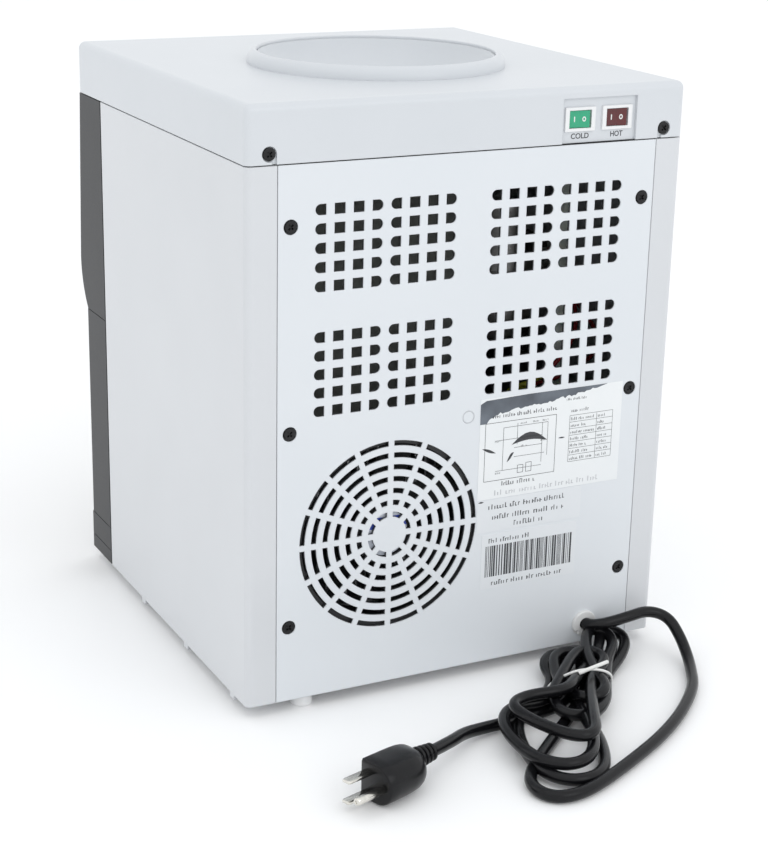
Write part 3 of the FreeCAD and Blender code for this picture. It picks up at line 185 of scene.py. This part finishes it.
def slot_materials():
    """One finish for each of the record's material slots."""
    white = dict(grain=14.0, fine=1400.0, bump=0.00003, edge=0.0006)
    made = {
        "casing_white": surface("casing_white", (0.60, 0.615, 0.635), (0.64, 0.655, 0.675),
                                rough=(0.28, 0.36), **white),
        # The cover's white, with painted shade inside its vent holes.
        "cover_white": painted_hole_shade(surface("cover_white", (0.66, 0.69, 0.72), (0.70, 0.725, 0.75),
                                             rough=(0.32, 0.42), **white)),
        "shell_white": surface("shell_white", (0.60, 0.625, 0.65), (0.64, 0.66, 0.685), rough=(0.26, 0.34),
                               Specular_IOR_Level=0.3, **white),
        "front_dark": surface("front_dark", (0.017, 0.018, 0.020), (0.025, 0.026, 0.028), rough=(0.25, 0.36),
                              bump=0.00004, edge=0.0006, Specular_IOR_Level=0.15),
        "white_plastic": surface("white_plastic", (0.74, 0.75, 0.76), (0.8, 0.8, 0.8), rough=(0.4, 0.5),
                                 edge=0.0004),
        "black_plastic": surface("black_plastic", (0.016, 0.016, 0.018), (0.026, 0.026, 0.028),
                                 rough=(0.4, 0.55), bump=0.00005, edge=0.0003),
        "green_rocker": surface("green_rocker", (0.012, 0.30, 0.15), (0.02, 0.40, 0.21), rough=(0.15, 0.22),
                                edge=0.0004, Coat_Weight=0.4),
        "red_rocker": surface("red_rocker", (0.07, 0.004, 0.006), (0.11, 0.007, 0.009), rough=(0.15, 0.22),
                              edge=0.0004, Coat_Weight=0.4),
        "blue_lever": surface("blue_lever", (0.02, 0.09, 0.5), (0.035, 0.13, 0.6), rough=(0.2, 0.3),
                              edge=0.0004),
        "red_lever": surface("red_lever", (0.55, 0.02, 0.02), (0.65, 0.035, 0.035), rough=(0.2, 0.3),
                             edge=0.0004),
        "lens_smoke": surface("lens_smoke", (0.3, 0.28, 0.25), (0.4, 0.38, 0.35), rough=(0.08, 0.14),
                              Transmission_Weight=0.3),
        "board_green": surface("board_green", (0.03, 0.16, 0.07), (0.06, 0.26, 0.12), grain=180.0,
                               rough=(0.3, 0.5)),
        "component_mix": surface("component_mix", (0.03, 0.03, 0.04), (0.12, 0.11, 0.10), grain=40.0,
                                 rough=(0.3, 0.5)),
        "black_screw": surface("black_screw", (0.01, 0.01, 0.01), (0.03, 0.03, 0.032), rough=(0.25, 0.4),
                               edge=0.0002, Metallic=0.6),
        "steel": surface("steel", (0.5, 0.5, 0.5), (0.66, 0.66, 0.65), rough=(0.22, 0.4), fine=300.0,
                         stretch=(1.0, 1.0, 14.0), Metallic=1.0),
        "spring_steel": surface("spring_steel", (0.45, 0.45, 0.45), (0.6, 0.6, 0.6), rough=(0.2, 0.3),
                                Metallic=1.0),
        "aluminium": surface("aluminium", (0.55, 0.56, 0.57), (0.72, 0.73, 0.74), rough=(0.3, 0.5),
                             fine=260.0, stretch=(1.0, 1.0, 10.0), Metallic=1.0),
        "ceramic_white": surface("ceramic_white", (0.8, 0.8, 0.78), (0.88, 0.88, 0.86), rough=(0.4, 0.5)),
        "foam_grey": surface("foam_grey", (0.20, 0.21, 0.20), (0.34, 0.35, 0.33), grain=90.0,
                             rough=(0.85, 0.95), bump=0.0004, fine=500.0),
        "silicone": surface("silicone", (0.62, 0.6, 0.54), (0.72, 0.7, 0.64), rough=(0.25, 0.35),
                            Subsurface_Weight=0.2),
        "cord_black": surface("cord_black", (0.003, 0.003, 0.004), (0.007, 0.007, 0.008), grain=40.0,
                              rough=(0.2, 0.3), bump=0.00002, fine=700.0, Specular_IOR_Level=0.26),
        "nickel": surface("nickel", (0.62, 0.60, 0.55), (0.8, 0.78, 0.73), rough=(0.12, 0.3), fine=400.0,
                          stretch=(12.0, 1.0, 1.0), Metallic=1.0),
        "tie_white": surface("tie_white", (0.72, 0.72, 0.70), (0.86, 0.86, 0.84), grain=500.0,
                             rough=(0.6, 0.8), bump=0.0001, fine=1500.0),
        "label_grey": surface("label_grey", (0.74, 0.765, 0.78), (0.80, 0.815, 0.82), grain=30.0,
                              rough=(0.3, 0.45)),
        "label_white": surface("label_white", (0.68, 0.705, 0.73), (0.72, 0.74, 0.76), grain=30.0,
                               rough=(0.45, 0.6)),
        "gland_pale": surface("gland_pale", (0.66, 0.66, 0.66), (0.76, 0.76, 0.75), rough=(0.35, 0.5),
                              edge=0.0003),
        "wire_sleeve": wire_finish(),
        "ink": surface("ink", (0.02, 0.021, 0.025), (0.06, 0.063, 0.07), grain=900.0, rough=(0.4, 0.6)),
        "ink_pale": surface("ink_pale", (0.42, 0.43, 0.45), (0.58, 0.59, 0.61), grain=900.0,
                            rough=(0.4, 0.6)),
        "hub_paper": hub_paper(),
        "worn_strip": surface("worn_strip", (0.008, 0.010, 0.016), (0.20, 0.23, 0.27), grain=45.0,
                              rough=(0.3, 0.5)),
        "mark_white": surface("mark_white", (0.7, 0.72, 0.7), (0.8, 0.82, 0.8), grain=300.0,
                              rough=(0.4, 0.5)),
    }
    return made


def step_along(tree, axis, place, low, high):
    """A two-colour step at a place on one of the object's axes: low before it and high past it."""
    spot = add(tree, "ShaderNodeTexCoord").outputs["Object"]
    along = add(tree, "ShaderNodeSeparateXYZ", Vector=spot).outputs[axis]
    past = add(tree, "ShaderNodeMath", operation="GREATER_THAN")
    tree.links.new(along, past.inputs[0])
    past.inputs[1].default_value = place
    mixed = add(tree, "ShaderNodeMix", data_type="RGBA")
    tree.links.new(past.outputs["Value"], mixed.inputs["Factor"])
    for name, value in (("A", low), ("B", high)):
        if isinstance(value, bpy.types.NodeSocket):
            tree.links.new(value, mixed.inputs[name])
        else:
            mixed.inputs[name].default_value = rgba(value)
    return mixed.outputs["Result"]


def wire_finish():
    """Yellow-green sleeves, and red ones on the wires that run nearest the left side."""
    material, tree, shader = new_shader("wire_sleeve", Roughness=0.35)
    colour = step_along(tree, "X", -0.076, (0.32, 0.015, 0.02), (0.42, 0.42, 0.03))
    tree.links.new(colour, shader.inputs["Base Color"])
    return material


def hub_paper():
    """Pale blue paper with a printed blue band across it."""
    material, tree, shader = new_shader("hub_paper", Roughness=0.4)
    blue = step_along(tree, "Z", 0.110, (0.62, 0.66, 0.74), (0.05, 0.09, 0.45))
    upper = step_along(tree, "Z", 0.117, blue, (0.66, 0.70, 0.78))
    tree.links.new(upper, shader.inputs["Base Color"])
    return material


def painted_hole_shade(material):
    """Painted shade in the cover's vent holes: deeper than a small depth behind the rear face, the colour
    turns dark grey, standing for the shadow on the holes' walls and on the cover's back.
    """
    tree = material.node_tree
    socket = tree.nodes["Principled BSDF"].inputs["Base Color"]
    face_colour = socket.links[0].from_socket
    # Dark grey painted shade past that depth, the cover's own white nearer the face.
    tree.links.new(step_along(tree, "Y", rear - PAINTED_SHADE_START, (0.05, 0.052, 0.055), face_colour), socket)
    return material


def paint_frame():
    """Gives every carried-over CAD node the finish that the record names for it."""
    for part in frame["record"]["subparts"]:
        piece = frame["nodes"][part["node"]]
        piece.data.materials.clear()
        piece.data.materials.append(finish[part["material_slot"]])


# ---- Power cord ----


LEAD = [
    # Out of the gland and round the casing's corner.
    (-93.5, 151, 21.2), (-94, 160, 22), (-103, 165, 24), (-119, 166, 26), (-136, 164, 27),
    # Down to the floor.
    (-148, 171, 23), (-149, 184, 14), (-146, 197, 7), (-140, 210, 4),
    # Along the floor in a wide bow, and back into the hank.
    (-124, 236, 4), (-80, 274, 4), (-20, 306, 4), (9, 318, 4), (27, 317, 4), (34, 304, 4), (28, 287, 4),
]
HANK = [
    # Under the lower loops to the tie, then the longest upper loop, which is the nearest to the casing.
    (0, 262, 4), (-50, 220, 4), (-78, 190, 7), (-95, 170, 12), (-103, 159, 15), (-113, 159, 15),
    (-117, 168, 12), (-108, 179, 8), (-90, 192, 5), (-70, 208, 4),
    # The lowest loop, flat on the floor.
    (-60, 230, 4), (-40, 244, 4), (-31, 275, 4), (-13, 305, 5), (10, 309, 6), (22, 291, 6), (13, 252, 4),
    (-4, 220, 4), (-30, 208, 4),
    # The outer left one of the upper loops.
    (-47, 192, 6), (-51, 173, 8), (-61, 164, 9), (-73, 166, 9), (-76, 178, 8), (-67, 192, 6), (-50, 206, 5),
    # The middle lower loop.
    (-38, 240, 8), (-26, 272, 12), (-8, 298, 12), (12, 300, 12), (24, 280, 12), (20, 242, 12), (4, 222, 12),
    (-22, 226, 12), (-42, 208, 12),
    # The inner left one of the upper loops, and a turn below the waist.
    (-49, 190, 13), (-56, 177, 14), (-67, 172, 14), (-76, 179, 14), (-73, 192, 13), (-58, 206, 12),
    (-46, 214, 12), (-41, 226, 12), (-50, 236, 13), (-63, 229, 15),
    # Up the loop beside the longest one.
    (-66, 210, 16), (-76, 184, 17), (-87, 166, 18), (-96, 157, 18), (-105, 162, 17), (-104, 174, 14),
    (-88, 190, 11),
    # The right bulge below the tie, and under the top loop to the left.
    (-73, 212, 10), (-58, 236, 9), (-40, 248, 9), (-22, 243, 11), (-25, 224, 14), (-46, 204, 17),
    (-62, 188, 17), (-74, 180, 17), (-84, 186, 16), (-82, 198, 15), (-62, 212, 14),
    # The top loop, the smallest of the lower ones.
    (-46, 236, 17), (-30, 264, 20), (-18, 286, 20), (-4, 285, 20), (8, 258, 20), (10, 234, 20), (-6, 227, 20),
    (-32, 231, 20), (-48, 216, 18),
    # Back through the tie and down to the floor.
    (-66, 198, 13), (-80, 186, 12), (-84, 174, 11), (-76, 165, 10), (-65, 171, 8), (-59, 186, 6),
    (-52, 206, 5), (-34, 222, 5), (-10, 226, 5),
]
TAIL = [
    (10, 226, 4), (24, 228, 5), (41, 234, 8), (57, 247, 12), (73.7, 255.6, 14),
]


def smooth_curve(name, points, width, material):
    """One smooth open tube whose control points are given in millimetres."""
    data = bpy.data.curves.new(name, "CURVE")
    data.dimensions = "3D"
    data.resolution_u = 10
    spline = data.splines.new("NURBS")
    spline.points.add(len(points) - 1)
    for knot, place in zip(spline.points, points):
        knot.co = (*(Vector(place) * MM), 1.0)
    spline.order_u = 3
    spline.use_endpoint_u = True
    data.bevel_depth = width / 2
    data.bevel_resolution = 5
    data.use_fill_caps = True
    data.materials.append(material)
    piece = bpy.data.objects.new(name, data)
    bpy.context.collection.objects.link(piece)
    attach(piece, ROOT)
    return piece


TIE = [
    # From underneath and up over the strands to the knot.
    (-57, 204, 1), (-41, 200, 2), (-35, 203, 8), (-38, 208, 15), (-45, 212, 20), (-52, 214, 22),
    # Round the far side and back under.
    (-60, 216, 22), (-70, 217, 19), (-77, 214, 12), (-76, 209, 4), (-64, 205, 1),
]
TIE_END = [
    # The twisted ends, which stick out sideways from the knot.
    (-50, 216, 21), (-56, 217, 23), (-64, 215, 23), (-74, 211, 22),
]


def make_cord():
    """The cord as one curve, the tie round its hank and the tie's twisted ends."""
    cord = smooth_curve("power_cord", LEAD + HANK + TAIL, CORD_WIDTH, finish["cord_black"])
    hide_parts("power_cord_lead", "power_cord_hank", "power_cord_tail")
    tie = smooth_curve("twist_tie", TIE, 1.7 * MM, finish["tie_white"])
    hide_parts("cord_tie")
    end = smooth_curve("twist_tie_end", TIE_END, 2.4 * MM, finish["tie_white"])
    return cord, [tie, end]


# ---- Plug ----


def new_piece(name, shape, material, body=ROOT, smooth=True):
    """Turns a bmesh into a piece that rides on a body."""
    bmesh.ops.recalc_face_normals(shape, faces=shape.faces)
    mesh = bpy.data.meshes.new(name)
    shape.to_mesh(mesh)
    shape.free()
    for face in mesh.polygons:
        face.use_smooth = smooth
    mesh.materials.append(finish[material])
    piece = bpy.data.objects.new(name, mesh)
    bpy.context.collection.objects.link(piece)
    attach(piece, body)
    return piece


def loft(shape, rings, close=True):
    """Skins rings of points, which all have the same number of points, and caps both ends."""
    rows = [[shape.verts.new(p) for p in ring] for ring in rings]
    count = len(rows[0])
    for first, second in zip(rows, rows[1:]):
        for n in range(count):
            m = (n + 1) % count
            shape.faces.new((first[n], first[m], second[m], second[n]))
    if close:
        shape.faces.new(rows[0][::-1])
        shape.faces.new(rows[-1])


def plug_ring(x, flat, far, half):
    """A D across the plug, flat on the blades' side and round on the earth pin's."""
    ring = []
    corner = min(1.6, half / 3)
    for sign in (-1, 1):
        turn = [(-flat + corner * (1 - math.cos(a)), sign * (half - corner * (1 - math.sin(a))))
                for a in (0, math.pi / 4, math.pi / 2)]
        ring += turn if sign > 0 else turn[::-1]
    middle = far - half
    steps = 14
    for n in range(steps + 1):
        a = math.pi / 2 - math.pi * n / steps
        ring.append((middle + half * math.cos(a), half * math.sin(a)))
    return [Vector((x, y, z)) * MM for y, z in ring]


def circles_along(profile, y, z, around=28):
    """Circles across the plug's axis, one for each place and radius of a profile, in millimetres."""
    turns = [2 * math.pi * n / around for n in range(around)]
    return [[Vector((x, y + r * math.cos(a), z + r * math.sin(a))) * MM for a in turns] for x, r in profile]


def place_plug(shape):
    """Moves what was made round the plug's own origin to where the plug lies."""
    turn = Matrix.Translation(PLUG) @ Matrix.Rotation(PLUG_TURN, 4, "Z")
    bmesh.ops.transform(shape, matrix=turn, verts=shape.verts)


def make_plug():
    """A moulded plug on its side, with ribs where the cord comes in and three metal contacts."""
    sections = [
        (0.0, 11.2, 11.6, 11.1), (-0.3, 11.8, 12.4, 11.7), (-1.0, 12.2, 12.8, 12.1), (-8.0, 12.2, 12.8, 12.1),
        (-20.0, 12.2, 12.4, 12.0), (-26.0, 12.2, 11.6, 11.6), (-29.5, 12.1, 10.2, 10.9),
        (-32.0, 12.0, 8.4, 10.0), (-34.2, 11.7, 6.0, 8.8), (-36.0, 11.2, 3.6, 7.6), (-37.0, 10.2, 1.6, 6.0),
    ]
    shape = bmesh.new()
    loft(shape, [plug_ring(*section) for section in sections])
    offset, rise, rib_pitch, rib_count = -5.0, 1.5, 3.3, 4
    rings = [(-35.0, 4.9)]
    for n in range(rib_count):
        start, crest, waist = -37.2 - rib_pitch * n, 6.4 - 0.35 * n, 4.3 - 0.1 * n
        rings += [(start, waist), (start - 0.1, crest - 0.4), (start - 0.5, crest), (start - 1.7, crest),
                  (start - 2.1, crest - 0.4), (start - 2.2, waist)]
    rings += [(-49.9, 4.25), (-50.0, 3.9)]
    loft(shape, circles_along(rings, offset, rise))
    place_plug(shape)
    grip = new_piece("plug_grip", shape, "cord_black")
    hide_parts("plug_body")

    blade_offset, blade_spread, pin_offset = -5.05, 6.35, 6.85
    shape = bmesh.new()
    for side in (-1, 1):
        blade = [(-1.5, 3.15, 0.75), (16.6, 3.15, 0.75), (18.0, 2.6, 0.6), (18.5, 1.8, 0.3)]
        rings = []
        for x, wide, thick in blade:
            soft = min(0.25, thick / 2)
            ring = [(wide, thick - soft), (wide - soft, thick), (soft - wide, thick), (-wide, thick - soft),
                    (-wide, soft - thick), (soft - wide, -thick), (wide - soft, -thick), (wide, soft - thick)]
            rings.append([Vector((x, y + blade_offset, z + side * blade_spread)) * MM for y, z in ring])
        loft(shape, rings)
    pin = [(-1.5, 2.4), (19.0, 2.4), (20.6, 2.2), (21.3, 1.7), (21.5, 1.3), (21.2, 0.9), (17.0, 0.8)]
    loft(shape, circles_along(pin, pin_offset, 0))
    place_plug(shape)
    contacts = new_piece("plug_contacts", shape, "nickel")
    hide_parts("plug_blades")
    return grip, contacts


# ---- Labels and printed marks ----


class Sheet:
    """A label on the rear face. Its own places are in millimetres from its lower corner, seen from behind."""

    def __init__(self, node):
        low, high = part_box(node)
        self.corner = Vector((high.x, high.y, low.z)) / MM
        self.shape = bmesh.new()

    def patch(self, corners, lift=0.05):
        rings = [
            [(self.corner + Vector((-u, y, v))) * MM for u, v in corners]
            for y in (-0.05, lift)
        ]
        loft(self.shape, rings)

    def bar(self, left, low, right, high):
        self.patch([(left, low), (right, low), (right, high), (left, high)])

    def line(self, start, end, width=0.3):
        run = Vector(end) - Vector(start)
        aside = Vector((-run.y, run.x)).normalized() * width / 2
        a, b = Vector(start), Vector(end)
        self.patch([a - aside, b - aside, b + aside, a + aside])

    def box(self, left, low, right, high, width=0.3):
        corners = [(left, low), (right, low), (right, high), (left, high)]
        for n in range(4):
            self.line(corners[n], corners[(n + 1) % 4], width)

    def leaf(self, start, end, rise, sink):
        """A smear between two points, whose two sides bow up by rise and by sink."""
        spots = [n / 8 for n in range(9)]
        sides = []
        for bow, places in ((rise, spots), (sink, spots[-2:0:-1])):
            for t in places:
                u = start[0] + (end[0] - start[0]) * t
                v = start[1] + (end[1] - start[1]) * t
                sides.append((u, v + bow * math.sin(math.pi * t)))
        self.patch(sides)

    def words(self, left, right, low, height, draw):
        """Strokes of uneven height and spacing that stand for a line of small print."""
        u = left
        letters_left = draw.randint(3, 8)
        while u < right:
            tall = height * draw.choice((0.62, 0.7, 1.0))
            wide = height * draw.uniform(0.14, 0.24)
            self.bar(u, low, u + wide, low + tall)
            if draw.random() < 0.5:
                middle = low + tall * draw.choice((0.08, 0.5, 0.9))
                self.bar(u + wide, middle - height * 0.07, u + wide + height * 0.25, middle + height * 0.07)
            u += height * draw.uniform(0.5, 0.68)
            letters_left -= 1
            if not letters_left:
                u += height * 0.55
                letters_left = draw.randint(3, 8)

    def done(self, name, material):
        return new_piece(name, self.shape, material, smooth=False)


def rating_print():
    """The large label: a worn dark header, a wiring sketch on the left and a small table on the right."""
    draw = random.Random(11)
    torn = Sheet("rating_label")
    upper = [(0, 63), (4, 65), (34, 66), (92, 66)]
    lower = [(84, 64), (56, 60), (14, 56), (3, 50)]
    ragged = []
    for (u0, v0), (u1, v1) in zip(lower, lower[1:]):
        steps = max(2, round(abs(u0 - u1) / 1.6))
        for n in range(steps):
            t = n / steps
            ragged.append((u0 + (u1 - u0) * t, v0 + (v1 - v0) * t + draw.uniform(-0.9, 0.9)))
    torn.patch(upper + ragged + [(0, 50)], lift=0.04)
    torn.done("label_torn_header", "worn_strip")

    ink = Sheet("rating_label")
    ink.words(9, 54, 53, 2.6, draw)
    ink.words(62, 76, 58, 1.6, draw)
    sketch(ink, draw)
    ink.words(66, 79, 50, 2.2, draw)
    left, split, right, low, rows, step = 65, 85, 97, 17, 7, 4.4
    ink.box(left, low, right, low + rows * step, 0.22)
    ink.line((split, low), (split, low + rows * step), 0.22)
    for n in range(rows):
        if n:
            ink.line((left, low + n * step), (right, low + n * step), 0.22)
        ink.words(left + 1, draw.uniform(split - 8, split - 2), low + n * step + 1.1, 1.9, draw)
        ink.words(split + 1, draw.uniform(right - 7, right - 3), low + n * step + 1.1, 1.9, draw)
    ink.words(17, 40, 8, 2.8, draw)
    ink.done("label_rating_print", "ink")
    pale = Sheet("rating_label")
    pale.words(12, 88, 2, 3.4, draw)
    pale.done("label_pale_print", "ink_pale")


def sketch(ink, draw):
    """A made-up wiring sketch in a frame, with dark smears across it."""
    ink.box(4, 12, 55, 50)
    for u, low, high in ((17, 18, 46), (27, 34, 48), (45, 20, 46), (49, 24, 46)):
        ink.line((u, low), (u, high), 0.25)
    for v, left, right in ((46, 17, 49), (38, 11, 45), (32, 25, 45), (26, 25, 47), (18, 12, 45)):
        ink.line((left, v), (right, v), 0.25)
    ink.box(28, 15, 32, 20)
    ink.box(34, 15, 38, 21)
    for u, v in ((11, 37), (29, 47), (38, 47), (45, 47), (12, 16), (44, 34), (30, 32)):
        ink.words(u, u + 4, v, 1.1, draw)
    ink.leaf((23, 34), (49, 34), 7, 2)
    ink.leaf((2, 34), (12, 30), 1, -1)
    ink.leaf((20, 23), (25, 29), 2, -1)
    ink.leaf((57, 34), (62, 34), 0.5, -0.5)


def service_print():
    """Three centred lines of small print."""
    draw = random.Random(5)
    ink = Sheet("service_label")
    for left, right, low in ((8, 65, 15), (11, 62, 8), (27, 48, 2)):
        ink.words(left, right, low, 3.3, draw)
    ink.leaf((0.5, 20.5), (4.5, 20.5), 0.6, -0.5)
    ink.done("label_service_print", "ink")


def serial_print():
    """A strip of bars between two lines of small print."""
    draw = random.Random(3)
    ink = Sheet("serial_label")
    ink.words(5, 34, 31, 3.0, draw)
    ink.words(8, 60, 2, 3.2, draw)
    thin, u, right = 0.42, 3, 66
    while u < right:
        wide = thin * draw.choice((1, 1, 2, 3))
        ink.bar(u, 8, u + wide, 29)
        u += wide + thin * draw.choice((1, 1, 2, 2.5))
    ink.done("label_serial_print", "ink")


def word(text, left, right, low, high):
    """A word on the rear of the top cover, fitted between two heights, seen from behind."""
    data = bpy.data.curves.new(text, "FONT")
    data.body = text
    data.extrude = 0.02
    data.offset = 0.012
    data.resolution_u = 4
    source = bpy.data.objects.new(text, data)
    bpy.context.collection.objects.link(source)
    bpy.context.view_layer.update()
    mesh = bpy.data.meshes.new_from_object(source.evaluated_get(bpy.context.evaluated_depsgraph_get()))
    bpy.data.objects.remove(source)
    shape = bmesh.new()
    shape.from_mesh(mesh)
    bmesh.ops.remove_doubles(shape, verts=shape.verts, dist=1e-5)
    xs = [v.co.x for v in shape.verts]
    ys = [v.co.y for v in shape.verts]
    for v in shape.verts:
        across = (v.co.x - min(xs)) / (max(xs) - min(xs))
        along = (v.co.y - min(ys)) / (max(ys) - min(ys))
        out = recess_face + (0.0001 if v.co.z > 0 else -0.0001)
        v.co = Vector((left + (right - left) * across, out, low + (high - low) * along))
    new_piece(f"word_{text.lower()}", shape, "ink", smooth=False)


def rocker_marks(node):
    """A stroke and a ring, pressed on the two halves of a rocker."""
    low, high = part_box(node)
    middle = (low + high) / 2
    rocker = frame["nodes"][node]
    shape = bmesh.new()
    stroke = [(-0.35, -1.6), (0.35, -1.6), (0.35, 1.6), (-0.35, 1.6)]
    turns = [2 * math.pi * n / 20 for n in range(20)]
    for side in (1, -1):
        start = Vector((middle.x + side * (high.x - low.x) * 0.23, high.y + 0.02, middle.z))
        hit, place, normal, _ = rocker.ray_cast(start, Vector((0, -1, 0)))
        if not hit:
            raise RuntimeError(f"{node} has no face under its mark")

        def lifted(u, v, lift):
            # The rocker's front runs level, so u stays in its own plane and v stays upright.
            across = Vector((0, 0, 1)).cross(normal).normalized()
            return place + (across * u + Vector((0, 0, 1)) * v + normal * lift) * MM

        if side > 0:
            loft(shape, [[lifted(u, v, lift) for u, v in stroke] for lift in (-0.05, 0.08)])
        else:
            rings = [[lifted(r * math.cos(a), 1.35 * r * math.sin(a), lift) for a in turns]
                     for r, lift in ((0.6, -0.05), (0.6, 0.08), (1.15, 0.08), (1.15, -0.05), (0.6, -0.05))]
            loft(shape, rings, close=False)
            bmesh.ops.remove_doubles(shape, verts=shape.verts, dist=1e-7)
    new_piece(f"{node}_marks", shape, "mark_white", body=node, smooth=False)


def standing_ring(shape, centre, turns, rows):
    """A closed ring on the rear: each row gives a radius and how far it stands out, in millimetres."""
    circle = [2 * math.pi * n / turns for n in range(turns)]
    rings = [[centre + Vector((r * math.cos(a), out, r * math.sin(a))) * MM for a in circle] for r,
             out in rows]
    loft(shape, [*rings, rings[0]], close=False)
    bmesh.ops.remove_doubles(shape, verts=shape.verts, dist=1e-7)


def gate_mark():
    """The faint round mark that moulding left in the middle of the cover."""
    shape = bmesh.new()
    standing_ring(shape, Vector((-0.0013, rear, 0.175)), 40,
                  [(3.4, -0.05), (3.6, 0.16), (4.1, 0.16), (4.3, -0.05)])
    new_piece("gate_mark", shape, "shell_white")


def fan_sticker():
    """A round paper label on the fan's hub, seen through the grille."""
    low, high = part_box("fan_rotor")
    middle = (low + high) / 2
    hits = []
    for node in ("fan_frame", "fan_rotor"):
        hit, place, _, _ = frame["nodes"][node].ray_cast(Vector((middle.x, rear - 0.003, middle.z)),
                                                         Vector((0, -1, 0)))
        if hit:
            hits.append((place.y, node, place))
    _, node, place = max(hits)
    shape = bmesh.new()
    turns = [2 * math.pi * n / 48 for n in range(48)]
    rows = [(14.5, -0.05), (14.5, 0.12), (14.2, 0.18)]
    loft(shape, [[place + Vector((r * math.cos(a), out, r * math.sin(a))) * MM for a in turns] for r,
                 out in rows])
    new_piece("fan_sticker", shape, "hub_paper",
              body="fan_rotor" if node == "fan_rotor" else ROOT)


# ---- The scene ----


make_camera()
finish = slot_materials()
make_studio()
paint_frame()
cord, ties = make_cord()
grip, contacts = make_plug()
rating_print()
service_print()
serial_print()
gate_mark()
fan_sticker()
word("COLD", -0.0658, -0.0784, 0.3415, 0.3448)
word("HOT", -0.0939, -0.1026, 0.3415, 0.3448)
rocker_marks("cold_rocker")
rocker_marks("hot_rocker")
